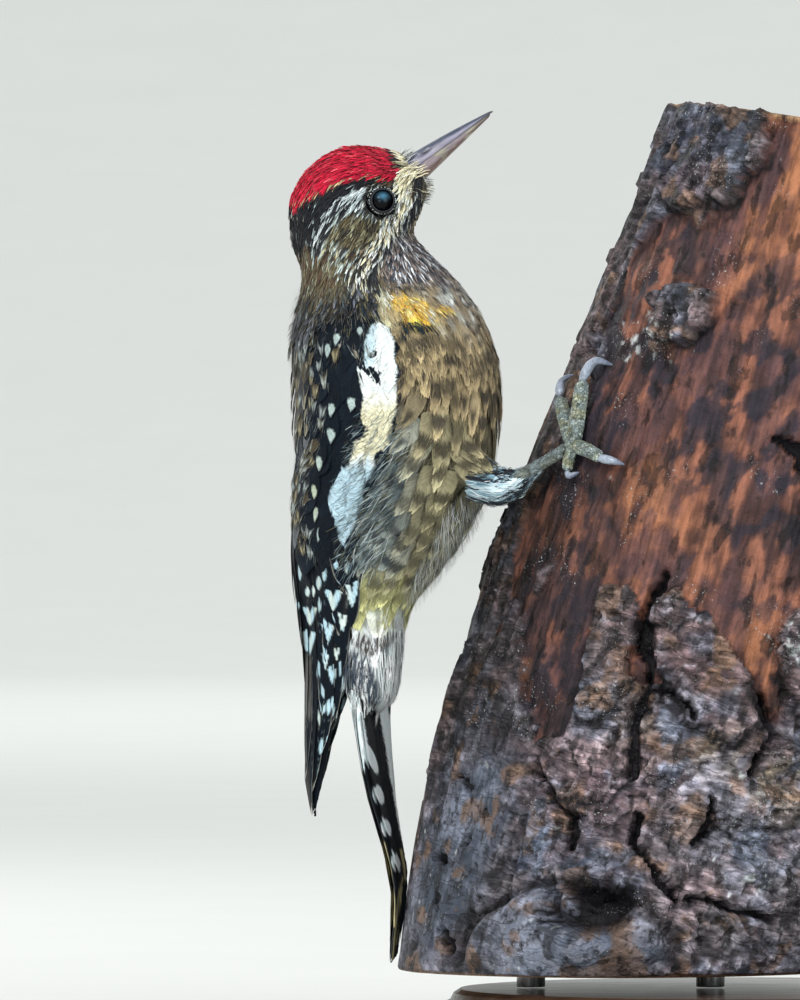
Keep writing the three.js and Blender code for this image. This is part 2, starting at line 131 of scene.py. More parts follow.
shader.inputs["Roughness"].default_value = 0.9
tone = paper.node_tree.nodes.new("ShaderNodeTexNoise")
tone.inputs["Scale"].default_value = 260
tint = paper.node_tree.nodes.new("ShaderNodeValToRGB")
tint.color_ramp.elements[0].color = (0.77, 0.78, 0.75, 1)
tint.color_ramp.elements[1].color = (0.8, 0.81, 0.78, 1)
paper.node_tree.links.new(tone.outputs[0], tint.inputs[0])
paper.node_tree.links.new(tint.outputs[0], shader.inputs["Base Color"])
floor.data.materials.append(paper)

# ---- Trunk ----
# A cut length of an old leaning trunk. Its bark has flaked off in layers and left worn red wood with
# long grain, a split down the front and a healed knot. The relief is raised on a fine even mesh.
MM = 0.001
BARK_CELL = 0.8 * MM
LAYER_THICK = 1.7
TRUNK_LEAN = math.radians(15)
DRYING_CRACKS = 3.5
# Deep cracks in the front: half width, then places across and up.
CRACKS = (
    (1.7, ((-21.5, 109), (-23.5, 103), (-24.6, 94), (-22.6, 88), (-24, 82), (-26, 74), (-27.2, 67),
           (-26, 61))),
    (0.8, ((-23, 82), (-17, 80.5), (-12, 76))),
    (0.9, ((-48.5, 67), (-50, 61), (-46.8, 55.6), (-41.4, 52.4), (-42, 44))),
    (0.9, ((-25.5, 51), (-27, 44), (-21.6, 37), (-17, 31.5))), (0.9, ((-14, 32), (-4, 29.6), (4, 26))),
    (1.2, ((-10, 56), (-9.5, 50), (-10.5, 45))), (1.3, ((3.7, 80), (4.4, 72), (2.8, 62))),
    (2.0, ((-24, 198.5), (-20.5, 205), (-17, 213))), (1.8, ((8, 143), (13, 139), (18, 132))))
# Thick flakes that stand off the front: middle, half sizes, lean, and how far they stand out.
FLAKES = (
    (-6, 214, 10.5, 15.5, 0.3, 3.0), (-15.5, 172.5, 7.2, 7.4, 0.1, 2.4), (-11.5, 88, 9.5, 17, -0.42, 1.8),
    (-33, 92, 6.5, 16, 0.16, 1.6), (-38, 63, 11, 7, 0.0, 1.2), (14, 88, 7, 13, 0.0, 1.4))
# Holes in the smooth bark low on the left: middle and half sizes.
HOLES = ((-73.7, 39.4, 1.6, 2.5), (-69, 44.8, 1.4, 1.9), (-67.6, 59.2, 2.0, 0.8), (-62.2, 52.4, 0.6, 1.9),
         (-74.5, 31.3, 0.8, 0.9), (-70.6, 22, 2.1, 4.6))


def joined_copy(*nodes):
    """One mesh of CAD nodes with their doubled corners merged."""
    whole = bmesh.new()
    for node in nodes:
        whole.from_mesh(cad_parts[node].data)
    bmesh.ops.remove_doubles(whole, verts=whole.verts, dist=1e-6)
    return meshed(whole)


def evened(source, cell, swell, rounds):
    """A closed mesh of small even faces round another, swollen and then smoothed."""
    holder = put("holder", source)
    grow = holder.modifiers.new("grow", "DISPLACE")
    grow.mid_level = 0
    grow.strength = swell
    even = holder.modifiers.new("even", "REMESH")
    even.mode = "VOXEL"
    even.voxel_size = cell
    ease = holder.modifiers.new("ease", "SMOOTH")
    ease.factor = 0.5
    ease.iterations = rounds
    bpy.context.view_layer.update()
    made = bpy.data.meshes.new_from_object(holder.evaluated_get(bpy.context.evaluated_depsgraph_get()))
    bpy.data.objects.remove(holder)
    made.shade_smooth()
    return made


def numbers(items, name, width):
    """One value of each item, as an array."""
    values = np.empty(len(items) * width)
    items.foreach_get(name, values)
    return values.reshape(-1, width) if width > 1 else values


def held(value):
    return np.clip(value, 0, 1)


def ramp(value, low, high):
    """A smooth step, from 0 below low to 1 above high."""
    t = held((value - low) / (high - low))
    return t * t * (3 - 2 * t)


def rough(points, size, octaves=4, seed=0.0):
    """Fractal noise, about -1 to 1, its largest lumps of the given size (one number or three)."""
    scaled = points / np.asarray(size, float) + seed
    return np.array([noise.fractal(p, 1.0, 2.0, octaves) for p in scaled.tolist()])


def spot(x, z, at_x, at_z, wide, tall, lean=0.0):
    """A soft round mask in the side view, 1 at its middle and 0.37 at its edge."""
    along = x - at_x - lean * (z - at_z)
    return np.exp(-((along / wide) ** 2) - ((z - at_z) / tall) ** 2)


def path_gap(x, z, path):
    """The distance to a bent line in the side view."""
    best = 0 * x + 1e3
    for (ax, az), (bx, bz) in zip(path, path[1:]):
        wide, tall = bx - ax, bz - az
        share = held(((x - ax) * wide + (z - az) * tall) / (wide ** 2 + tall ** 2))
        best = np.minimum(best, np.hypot(x - ax - share * wide, z - az - share * tall))
    return best


def spots(*rows):
    """Such masks added up on the trunk's front: how strong each is, and its numbers."""
    return front * sum(strong * spot(x, z, *row) for strong, *row in rows)


def mix(first, second, share):
    share = np.asarray(share)[..., None]
    return np.asarray(first) * (1 - share) + np.asarray(second) * share


trunk_mesh = evened(joined_copy("perch_trunk"), BARK_CELL, 0.0, 30)
wood = numbers(trunk_mesh.vertices, "co", 3) / MM
out = numbers(trunk_mesh.vertices, "normal", 3)
x, y, z = wood.T
front = ramp(-y, -6, 10)
shell = ramp(np.hypot(out[:, 0], out[:, 1]), 0.55, 0.85)
straight = np.stack([x - math.tan(TRUNK_LEAN) * z, y, z], 1)
tears = np.stack([rough(wood, 9, 6, s) for s in (3.1, 7.7)], 1) * 3.4
jx, jz = x + tears[:, 0], z + tears[:, 1]
sway = rough(straight, (26, 26, 34), 6, 1.7)

# Bare wood takes the middle and the upper front. Bark keeps to the foot, the edges and a few flakes.
worn = 0.6 * ramp(z, 66, 100) - 0.12 + 0.8 * sway - 0.9 * ramp(-out[:, 0], 0.8, 0.93) - 0.5 * (1 - front)
worn = worn - 1.2 * ramp(-z, -60, -46) + spots(
    (0.9, -3, 94, 11, 11), (0.8, -43, 90, 8, 24, 0.2), (0.5, -18, 140, 26, 34, 0.3),
    (0.7, 8, 190, 13, 36, 0.1), (-0.9, -15, 216, 14, 22, 0.3), (-0.7, 18, 84, 9, 20))
raised = np.zeros(len(x))
shadow_under_edge = np.zeros(len(x))
for at_x, at_z, wide, tall, lean, stand in FLAKES:
    across = (jx - at_x - lean * (jz - at_z)) / wide
    edge = 1 - (np.abs(across) ** 2.5 + np.abs((jz - at_z) / tall) ** 2.5) ** 0.4
    on = front * ramp(edge, 0.0, 0.07)
    lower = ramp(at_z - z, -tall, tall)
    raised = np.maximum(raised, on * (0.35 + 0.65 * lower) * stand)
    # Painted shadow: a dark band just below each flake's lower edge.
    shade = front * ramp(edge, -0.24, -0.04) * (1 - ramp(edge, -0.02, 0.05)) * ramp(lower, 0.3, 0.75)
    shadow_under_edge = np.maximum(shadow_under_edge, shade)
    worn = worn - 1.5 * on
bare = ramp(worn, 0.26, 0.31)
bark = 1 - bare
# Painted shadow also lies along the bare wood next to the bark's edge.
shadow_under_edge = np.maximum(shadow_under_edge, 0.6 * ramp(worn, 0.3, 0.36) * (1 - ramp(worn, 0.38, 0.5)) * front)

# Bark lies in thin layers with torn edges: across the trunk low on the right, upright at the left.
level_ways = ramp(x + 0.4 * z, -14, 26) * ramp(-z, -92, -60)
upright = ramp(-out[:, 0], 0.35, 0.85)


def layering(at):
    """Where each layer of bark ends, as a smooth field."""
    other = rough(at, (8, 8, 40), 3, 17.9) * upright + rough(at, (17, 17, 22), 3, 4.4) * (1 - upright)
    return rough(at, (26, 26, 10), 3, 11.3) * level_ways + other * (1 - level_ways)


strata = layering(straight)
overhung = ramp(layering(straight + (0, 0, 1.6)) - strata, -0.01, 0.035)
strata = strata + 0.1 * rough(wood, (6, 6, 2.6), 4, 6.1)
steps = np.clip(strata * 3.4 + 2.0, -0.99, 4.99)
part = steps - np.floor(steps)
layers = np.clip(np.floor(steps) - 1 + ramp(part, 0, 0.07), -1, 3)
# Painted shadow below each layer's edge, strongest where the layer above hangs over it.
lip_shade = ramp(part, 0.76, 0.97) * bark * (0.15 + 0.85 * overhung)
# A painted highlight along each layer's rim.
rim_highlight = ramp(-part, -0.22, -0.03) * bark
sheet_tone = np.sin((np.floor(steps) + (part > 0.97)) * 2.4)
grain = rough(straight, (2.6, 2.6, 36), 5, 5.5)
crumbs = rough(wood, 4.2, 5, 8.1)
smooth_bark = front * held(spot(x, z, -69, 42, 8, 26, 0.36) * 1.5)
thick = LAYER_THICK * (1 - 0.85 * smooth_bark) * (1 - 0.5 * upright)
lift = bark * (1.0 - 0.9 * upright + np.clip(thick * (layers - 1.0), -2.5, 2.6) + 0.22 * crumbs)
lift = lift + bare * (0.45 * grain + 0.5 * crumbs - 1.0) + raised
lift = lift + 1.2 * rough(wood, 17, 3, 2.2) * (1 - 0.5 * upright)
crack = np.zeros(len(x))
open_wide = 0.45 + 0.85 * ramp(rough(wood, 6, 3, 33.0), -0.45, 0.45)
for half, path in CRACKS:
    gap = path_gap(x + 0.6 * tears[:, 0], z + 0.3 * tears[:, 1], path) / (half * open_wide)
    crack = np.maximum(crack, front * ramp(gap, 1.3, 0.7))
for at_x, at_z, wide, tall in HOLES:
    away = np.hypot((jx - at_x) / wide, (jz - at_z) / tall)
    crack = np.maximum(crack, 0.8 * front * ramp(away, 1.1, 0.7))
# The knot: a healed bulge with a rolled rim round the hollow of a lost limb, and a groove about it.
away = np.hypot((x + 43 + 0.25 * tears[:, 0]) / 1.28, z - 15 + 0.25 * tears[:, 1])
knot = front * ramp(x + y, 40, -20)
dome = knot * np.sqrt(held(1 - (away / 19.5) ** 2))
groove = knot * np.exp(-(((away - 20.5) / 1.8) ** 2)) * ramp(z, 8, 16)
into = np.hypot((x + 37.5 + 0.2 * tears[:, 0]) / 11.0, (z - 29.4) / 5.6)
hole = knot * ramp(into, 1.08, 0.8)
ring = knot * np.exp(-(((into - 1.45) / 0.34) ** 2))
stump = knot * spot(x, z, -43.5, 31.5, 2.2, 4.0)
settle = knot * ramp(away, 21, 18)
lift = lift * (1 - 0.75 * settle) + 5.6 * dome + 1.6 * ring - 1.8 * groove
lift = lift - 9.0 * hole * (1 - 0.7 * stump) - 4.2 * crack
# Nothing stands under the bird's feet and tail.
hold = (1 - ramp(np.hypot(x + 42, z - 145), 24, 12)) * (1 - ramp(-x, 66, 72) * ramp(-z, -70, -45))
lift = np.where(lift > 0, lift * hold, lift) * shell * (1 - 0.9 * ramp(-z, -20, -13))
trunk_mesh.vertices.foreach_set("co", ((wood + out * lift[:, None]) * MM).ravel())
trunk_mesh.update()

# Bare wood is dark red brown, blotched blue black and plum, and brushed orange where it is freshest.
fibre_tone = ramp(rough(straight, (5, 5, 22), 6, 41.0) + 0.35 * crumbs, -0.34, 0.4)
cloud = rough(straight, (15, 15, 21), 6, 51.0)
wood_tone = mix((0.055, 0.027, 0.025), (0.245, 0.098, 0.062), fibre_tone)
amber = held(spots(
    (1, 11, 208, 11, 22), (1, -3, 188, 9, 13, 0.4), (1.1, -24, 131, 5, 8),
    (0.8, -22, 118, 15, 13), (1, -2, 91, 12, 11), (1.4, -52.5, 92, 1.8, 15, 0.3)))
fresh = mix((0.12, 0.048, 0.032), (0.33, 0.135, 0.066), fibre_tone)
wood_tone = mix(wood_tone, fresh, amber * ramp(cloud + 0.4 * crumbs, -0.4, 0.15))
wood_tone = mix(wood_tone, (0.092, 0.048, 0.052), 0.55 * ramp(-cloud, 0.04, 0.28))
stain = rough(straight, (7, 7, 10), 7, 21.3) + spots(
    (0.5, -12, 186, 6, 9), (0.45, -9, 136, 9, 9), (0.5, 4, 148, 8, 8), (0.6, -36, 152, 9, 26, 0.3),
    (0.8, -42, 92, 8, 27, 0.2))
wood_tone = mix(wood_tone, (0.016, 0.017, 0.027), 0.8 * ramp(stain, 0.2, 0.38) * (1 - 0.7 * amber))

# Bark is grey brown under plum, blue, healed, pale, tan, wine and azure patches. Each has its darkest
# and palest colour, how pale it is, and how far it covers what is below.
healed = held(1.2 * smooth_bark + 0.9 * dome)
raw = 1 - healed
plum = held(spots((1, -12, 86, 13, 17, -0.4), (0.8, -33, 60, 16, 14), (0.6, -15, 168, 9, 7)))
blue = spots((1.3, -12, 222, 14, 16, 0.3)) + 0.9 * rough(straight, 22, 4, 15.5)
pale = rough(straight, (16, 16, 9), 6, 31.0) + 0.3 * level_ways + 0.1 * sheet_tone
tan = held(spots((1, -14, 71, 13, 8), (0.8, 6, 60, 10, 8)) * ramp(cloud + 0.5 * crumbs, -0.35, 0.2))
wine = ramp(rough(straight, (20, 20, 14), 5, 66.0), 0.02, 0.34)
azure = ramp(rough(straight, (15, 15, 18), 5, 87.0), 0.04, 0.3)
soft = ramp(crumbs, -0.3, 0.4)
grey = ramp(crumbs + 0.6 * cloud + 0.35 * sheet_tone, -0.6, 0.7)
bark_tone = mix((0.03, 0.025, 0.027), (0.125, 0.102, 0.108), grey)
for darkest, palest, how_pale, cover_share in (
        ((0.075, 0.045, 0.05), (0.19, 0.12, 0.122), ramp(crumbs + 0.3 * sheet_tone, -0.3, 0.5),
         0.85 * plum),
        ((0.014, 0.02, 0.036), (0.06, 0.066, 0.095), ramp(crumbs, -0.3, 0.5), 0.85 * ramp(blue, 0.34, 0.8)),
        ((0.042, 0.052, 0.072), (0.165, 0.185, 0.24), ramp(cloud + 0.7 * crumbs, -0.45, 0.55), healed),
        ((0.18, 0.175, 0.215), (0.18, 0.175, 0.215), soft,
         0.42 * ramp(pale, 0.26, 0.52) * (1 - 0.6 * healed)),
        ((0.17, 0.125, 0.072), (0.17, 0.125, 0.072), soft, 0.75 * tan),
        ((0.052, 0.034, 0.038), (0.15, 0.098, 0.1), soft, 0.5 * wine * raw),
        ((0.022, 0.03, 0.046), (0.11, 0.132, 0.175), soft, 0.6 * azure * raw)):
    bark_tone = mix(bark_tone, mix(darkest, palest, how_pale), cover_share)
low_right = ramp(-z, -84, -66) * (1 - upright) * (1 - 0.8 * healed)
bark_tone = bark_tone * (1 + low_right[:, None] * np.array((0.62, 0.72, 0.78)))
# Painted highlight: the layers' rims are lightened.
bark_tone = mix(bark_tone, (0.36, 0.35, 0.39), 0.28 * rim_highlight * (1 - 0.7 * upright))
rust = rough(wood, 9, 5, 71.0) + spots((0.6, -34, 12, 9, 8)) + 0.25 * lip_shade
bark_tone = mix(bark_tone, (0.165, 0.098, 0.06), 0.65 * ramp(rust, 0.22, 0.44))
tone = mix(wood_tone, bark_tone, bark)
tone = tone * (1 - 0.55 * upright * ramp(z, 62, 80) * ramp(-z, -150, -130))[:, None]
dusty = spots(
    (1, -2, 56, 6, 9), (1, 0, 37, 8, 5), (1, 12, 92, 7, 8), (1, -28, 166, 6, 6), (0.8, -20, 168, 5, 10))
lichen = ramp(0.7 * rough(wood, 2.4, 6, 91.0) + 0.55 * dusty - 0.1 * bare, 0.6, 0.74)
tone = mix(tone, (0.46, 0.49, 0.49), 0.85 * lichen)
# Painted shade: near black in the cracks, the holes, the knot's hollow and its groove, under the layers'
# and flakes' edges, and where the surface sinks deep.
dark = 0.9 * lip_shade + 0.95 * shadow_under_edge + crack + hole * (1 - stump) + 0.8 * groove
dark = held(dark + 0.5 * ramp(-lift, 2.2, 4))
tone = mix(tone, (0.006, 0.005, 0.007), dark)
# The sawn ends show year rings and a few drying cracks that run out from the middle.
sawn = 1 - shell
from_pith_x = x - x[shell < 0.1].mean()
from_pith = np.hypot(from_pith_x, y)
rings = 0.5 + 0.5 * np.sin(from_pith * 2.4 + 2.5 * rough(wood, 18, 3, 61.0))
end_grain = mix((0.26, 0.145, 0.075), (0.36, 0.22, 0.115), rings)
spoke = (np.arctan2(y, from_pith_x) * DRYING_CRACKS / np.pi + 0.1 * rough(wood, 11, 3, 63.0)) % 1
drying = ramp(0.75 - np.abs(spoke - 0.5) * from_pith * np.pi / DRYING_CRACKS, 0, 0.45)
drying = drying * ramp(from_pith, 14, 34)
end_grain = mix(end_grain, (0.03, 0.018, 0.012), 0.9 * drying)
tone = mix(tone, end_grain, sawn * ramp(z, 100, 150))
tone = mix(tone, (0.19, 0.11, 0.06), sawn * ramp(-z, -30, -20))


def paint(mesh, colours, name="tone"):
    layer = mesh.color_attributes.new(name, "FLOAT_COLOR", "POINT")
    full = np.ones((len(mesh.vertices), 4))
    full[:, :3] = held(colours)
    layer.data.foreach_set("color", full.ravel())


paint(trunk_mesh, tone)
dust = ramp(rough(wood, 12, 4, 95.0) + 0.8 * dusty + 0.25 * bark, 0.3, 0.75)
paint(trunk_mesh, np.stack([bark * shell, dust * shell, np.maximum(healed * bark, sawn)], 1), "kind")


class Finish:
    """A material being put together from nodes."""

    def __init__(self, name, roughness, **sockets):
        self.material = bpy.data.materials.new(name)
        self.material.use_nodes = True
        self.tree = self.material.node_tree
        self.shader = self.tree.nodes["Principled BSDF"]
        self.shader.inputs["Roughness"].default_value = roughness
        for socket, value in sockets.items():
            self.shader.inputs[socket.replace("_", " ")].default_value = value

    def feed(self, socket, value):
        """Links an output to a socket, or sets a plain number or colour there."""
        if isinstance(value, (int, float)):
            socket.default_value = value
        elif isinstance(value, tuple):
            socket.default_value = (*value, 1)
        else:
            self.tree.links.new(value, socket)

    def add(self, kind, *values, **settings):
        """A node with its first inputs fed in order, and its settings made."""
        made = self.tree.nodes.new("ShaderNode" + kind)
        for name, value in settings.items():
            if name.startswith("in_"):
                made.inputs[name[3:].replace("_", " ")].default_value = value
            else:
                setattr(made, name, value)
        for socket, value in zip(made.inputs, values):
            self.feed(socket, value)
        return made

    def maths(self, operation, first, second=0.0):
        return self.add("Math", first, second, operation=operation).outputs[0]

    def attribute(self, name):
        return self.add("Attribute", attribute_name=name).outputs["Color"]

    def place(self):
        return self.add("TexCoord").outputs["Object"]

    def grit(self, where, scale, detail=4.0, stretch=(1, 1, 1)):
        """Noise from 0 to 1 at a scale, stretched along an axis by a small number there."""
        turned = self.add("Mapping", where, in_Scale=stretch)
        return self.add("TexNoise", turned.outputs[0], in_Scale=scale, in_Detail=detail).outputs[0]

    def ramp(self, value, *stops):
        """Colours or greys along a value. Each stop is (place, colour)."""
        made = self.add("ValToRGB", value)
        steps = made.color_ramp.elements
        while len(steps) < len(stops):
            steps.new(0.5)
        for step, (place, colour) in zip(steps, stops):
            step.position = place
            step.color = (*colour, 1) if isinstance(colour, tuple) else (colour, colour, colour, 1)
        return made.outputs[0]

    def blend(self, share, first, second, way="MIX"):
        """From one colour to another by a share."""
        made = self.add("Mix", share, data_type="RGBA", blend_type=way)
        self.feed(made.inputs[6], first)
        self.feed(made.inputs[7], second)
        return made.outputs[2]

    def times(self, first, second):
        return self.blend(1, first, second, "MULTIPLY")

    def toned(self, value, low, high):
        """The mesh's own colours, from darker to lighter along a value."""
        shade = self.ramp(value, (0.3, low), (0.7, high))
        self.link(self.times(self.attribute("tone"), shade), "Base Color")

    def bump(self, height, distance, strength=1.0):
        made = self.add("Bump", in_Distance=distance, in_Strength=strength)
        self.feed(made.inputs["Height"], height)
        self.link(made.outputs[0], "Normal")

    def link(self, source, socket):
        self.tree.links.new(source, self.shader.inputs[socket])


rind = Finish("weathered_bark", 0.62, Specular_IOR_Level=0.22)
where = rind.add("Mapping", rind.place(), in_Rotation=(0, -TRUNK_LEAN, 0)).outputs[0]
on_bark, on_dust, on_smooth = rind.add("SeparateColor", rind.attribute("kind")).outputs
fine = rind.grit(where, 560, 9.0, (0.5, 0.5, 1.0))
fibre = rind.grit(where, 800, 8.0, (1, 1, 0.09))
blot = rind.grit(where, 260, 9.0, (1, 1, 0.45))
fleck = rind.grit(where, 1700, 4.0)
long_grain = rind.ramp(fibre, (0.34, 0.66), (0.5, 1.0), (0.66, 1.36))
even_crust = rind.ramp(fibre, (0.34, 0.8), (0.5, 1.0), (0.66, 1.25))
crust = rind.ramp(fine, (0.35, 0.34), (0.47, 0.82), (0.54, 1.1), (0.64, 2.1))
crust = rind.blend(on_smooth, crust, even_crust)
soot = rind.ramp(blot, (0.4, 1.12), (0.56, 0.95), (0.61, 0.34))
soot = rind.blend(rind.maths("SUBTRACT", on_smooth, on_bark), soot, even_crust)
coloured = rind.times(rind.attribute("tone"), rind.blend(on_bark, long_grain, crust))
coloured = rind.times(coloured, soot)
# Thin flakes: a noise cut into flat steps, with a painted shadow line on each step and a painted highlight
# along its rim.
sheets = rind.grit(where, 105, 10.0, (0.45, 0.45, 1.25))
flake_shadow_and_highlight = rind.ramp(
    sheets, (0.36, 0.9), (0.4, 0.55), (0.41, 1.18), (0.455, 0.95), (0.465, 0.5), (0.475, 1.15),
    (0.52, 0.96), (0.53, 0.52), (0.54, 1.2), (0.6, 0.95), (0.61, 0.5), (0.62, 1.28))
flake_height = rind.ramp(
    sheets, (0.39, 0.0), (0.41, 0.2), (0.46, 0.22), (0.475, 0.42), (0.525, 0.45), (0.54, 0.66),
    (0.605, 0.7), (0.62, 1.0))
coloured = rind.times(coloured, rind.blend(on_bark, (1, 1, 1), flake_shadow_and_highlight))
specks = rind.maths("MULTIPLY", rind.ramp(fleck, (0.63, 0.0), (0.69, 0.85)), on_dust)
rind.link(rind.blend(specks, coloured, (0.42, 0.43, 0.44)), "Base Color")
rind.link(rind.ramp(blot, (0.35, 0.78), (0.62, 0.48)), "Roughness")
heights = rind.maths("ADD", rind.maths("MULTIPLY", fine, 0.7), rind.maths("MULTIPLY", fibre, 0.7))
heights = rind.maths("ADD", heights, rind.maths("MULTIPLY", flake_height, on_bark))
rind.bump(rind.maths("ADD", heights, rind.maths("MULTIPLY", fleck, 0.3)), 0.001)


def add_piece(name, mesh, finish, slot, *nodes):
    """Puts a mesh in the scene as a piece, which stands for any CAD nodes named."""
    piece = put(name, mesh)
    mesh.name = name
    mesh.materials.append(finish.material)
    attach(piece, "root")
    if nodes:
        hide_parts(*nodes)
    return piece


add_piece("trunk", trunk_mesh, rind, "bark", "perch_trunk")

# ---- Stand ----
# A round turned base of dark varnished wood with a softened rim, and two steel rods that are let
# into it and into the trunk's foot. Neither belongs to the tree: they hold the piece up.
base_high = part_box("stand_base")[1]
BASE_RADIUS = base_high[0]
BASE_THICK = base_high[2]
base_mesh = bmesh.new()
profile = [base_mesh.verts.new((px, 0, pz)) for px, pz in (
    (0, 0), (BASE_RADIUS - 1.5 * MM, 0), (BASE_RADIUS, 1.5 * MM), (BASE_RADIUS, BASE_THICK - 3.2 * MM),
    (BASE_RADIUS - 1.0 * MM, BASE_THICK - 2.6 * MM), (BASE_RADIUS - 1.8 * MM, BASE_THICK - 1.0 * MM),
    (BASE_RADIUS - 3.4 * MM, BASE_THICK), (0, BASE_THICK))]
line = [base_mesh.edges.new(pair) for pair in zip(profile, profile[1:])]
bmesh.ops.spin(base_mesh, geom=profile + line, cent=(0, 0, 0), axis=(0, 0, 1), angle=2 * math.pi,
               steps=160, use_merge=True)
bmesh.ops.remove_doubles(base_mesh, verts=base_mesh.verts, dist=1e-6)
bmesh.ops.recalc_face_normals(base_mesh, faces=base_mesh.faces)
varnish = Finish("dark_varnished_wood", 0.32, Coat_Weight=0.35, Coat_Roughness=0.12)
where = varnish.place()
streak = varnish.grit(where, 120, 6.0, (0.12, 1, 1))
pore = varnish.grit(where, 900, 3.0, (0.05, 1, 1))
browns = (0.3, (0.03, 0.016, 0.01)), (0.5, (0.062, 0.032, 0.019)), (0.72, (0.105, 0.058, 0.034))
varnish.link(varnish.ramp(streak, *browns), "Base Color")
varnish.link(varnish.ramp(pore, (0.35, 0.46), (0.6, 0.28)), "Roughness")
varnish.bump(pore, 0.0003, 0.4)
add_piece("display_base", meshed(base_mesh, False), varnish, "stand_wood", "stand_base")

steel = Finish("brushed_steel", 0.28, Metallic=1.0)
where = steel.place()
brush = steel.grit(where, 900, 3.0, (1, 1, 0.06))
steel.link(steel.ramp(brush, (0.3, (0.36, 0.36, 0.36)), (0.7, (0.6, 0.6, 0.59))), "Base Color")
steel.link(steel.ramp(brush, (0.3, 0.38), (0.7, 0.22)), "Roughness")
steel.bump(brush, 0.0002, 0.3)
for number in (1, 2):
    low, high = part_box(f"stand_rod_{number}")
    rod = bmesh.new()
    middle = ((low[0] + high[0]) / 2, (low[1] + high[1]) / 2)
    radius = (high[0] - low[0]) / 2
    at = Matrix.Translation((*middle, (low[2] + high[2]) / 2))
    bmesh.ops.create_cone(rod, cap_ends=True, segments=48, radius1=radius, radius2=radius,
                          depth=high[2] - low[2], matrix=at)
    rims = [e for e in rod.edges if abs(e.verts[0].co.z - e.verts[1].co.z) < 1e-7]
    bmesh.ops.bevel(rod, geom=rims, offset=0.3 * MM, offset_type="OFFSET", segments=2, profile=0.5,
                    affect="EDGES", material=-1)
    add_piece(f"rod_{number}", meshed(rod), steel, "stand_rod", f"stand_rod_{number}")

# ---- Skin ----
# The bird's own body under its feathers, in one piece from the bill to the tail coverts with the
# thighs. It lies a coat's depth inside the flesh of the solids, and carries the coat's colours.
FLESH = ("head", "neck", "body", "tail_coverts", "thigh_right", "thigh_left")
WINGS = ("wing_right", "wing_left")
COAT_DEPTH = 1.7 * MM
FACE_DEPTH = 0.8 * MM
BIRD_AXIS = Vector((-85.75, 0, 0)) * MM
BIRD_TURN = math.radians(-20)
BIRD_COS, BIRD_SIN = math.cos(BIRD_TURN), math.sin(BIRD_TURN)
HEAD_BACK = np.array((-110.5, 2.0, 195.2)) * MM
HEAD_PITCH = math.radians(24.6)
HEAD_COS, HEAD_SIN = math.cos(HEAD_PITCH), math.sin(HEAD_PITCH)
EYE_PLACE = (22.7, 8.75, -4.5)
# The middle line that the coat is combed along, from the bill over the head to the vent.
COMB_LINE = np.array([
    (-74, 2, 213), (-80, 2, 209.5), (-86, 2, 206.5), (-92, 2, 203), (-96.5, 2, 198), (-98, 1.5, 192),
    (-96, 1, 186), (-92, 0, 180), (-88, 0, 173), (-86, 0, 164), (-85, 0, 152), (-85, 0, 138),
    (-86, 0, 124), (-88, 0, 110), (-90, 0, 96), (-90.5, 0, 84), (-89.5, 0, 72), (-88, 0, 60)]) * MM
# Where the lie differs from it: places and directions in the bird's own frame.
LIE_GUIDES = np.array([
    ((9, 0, 201), (-0.4, 0, -0.92)), ((4, 0, 192), (-0.15, 0, -1)), ((-3, 9, 196), (-0.72, 0.1, -0.7)),
    ((-10, 11, 192), (-0.55, 0.1, -0.85)), ((-2, 8, 212), (-0.95, 0.1, -0.1)),
    ((9, 23, 137), (-0.75, 0.2, -0.6)), ((1, 24, 129), (-0.88, 0.1, -0.46)),
    ((6, 22, 120), (-0.84, 0.1, -0.54)), ((9, 18, 111), (-0.6, 0, -0.8)),
    ((15, 18, 128), (-0.42, 0.1, -0.9)), ((22, 8, 142), (-0.05, 0, -1)), ((20, 0, 112), (-0.45, 0, -0.9))])
seeded = np.random.default_rng
flesh = evened(joined_copy(*FLESH), 1.0 * MM, 0.35 * MM, 6)
cover = evened(joined_copy(*FLESH, *WINGS, "tail"), 1.0 * MM, 0.35 * MM, 8)


def lift_off(mesh, offsets):
    places = numbers(mesh.vertices, "co", 3)
    places += numbers(mesh.vertices, "normal", 3) * np.asarray(offsets)[:, None]
    mesh.vertices.foreach_set("co", places.ravel())
    mesh.update()


def surface(mesh):
    faces = [tuple(p.vertices) for p in mesh.polygons]
    return BVHTree.FromPolygons([v.co for v in mesh.vertices], faces)


def off(form, points):
    """How far places are from a form."""
    return np.array([form.find_nearest(p)[3] for p in points.tolist()])


def in_bird(points):
    """Places in the bird's own frame: millimetres towards the belly, to the left, and up."""
    shifted = (points - np.array(BIRD_AXIS)) / MM
    belly = shifted[..., 0] * BIRD_COS + shifted[..., 1] * BIRD_SIN
    return belly, -shifted[..., 0] * BIRD_SIN + shifted[..., 1] * BIRD_COS, shifted[..., 2]


def from_bird(belly, left, up):
    """The reverse, in metres."""
    x, y = belly * BIRD_COS - left * BIRD_SIN, belly * BIRD_SIN + left * BIRD_COS
    return np.stack([x, y, up], -1) * MM + np.array(BIRD_AXIS)


def in_head(points):
    """Places in the head's frame: millimetres along to the bill, off to a side, and up."""
    d = (points - HEAD_BACK) / MM
    along = d[..., 0] * HEAD_COS + d[..., 2] * HEAD_SIN
    return along, np.abs(d[..., 1]), d[..., 2] * HEAD_COS - d[..., 0] * HEAD_SIN


def from_head(along, side, up):
    """The reverse, in metres, with the side signed."""
    ahead, rise = along * HEAD_COS - up * HEAD_SIN, along * HEAD_SIN + up * HEAD_COS
    return HEAD_BACK + np.array((ahead, side, rise)) * MM


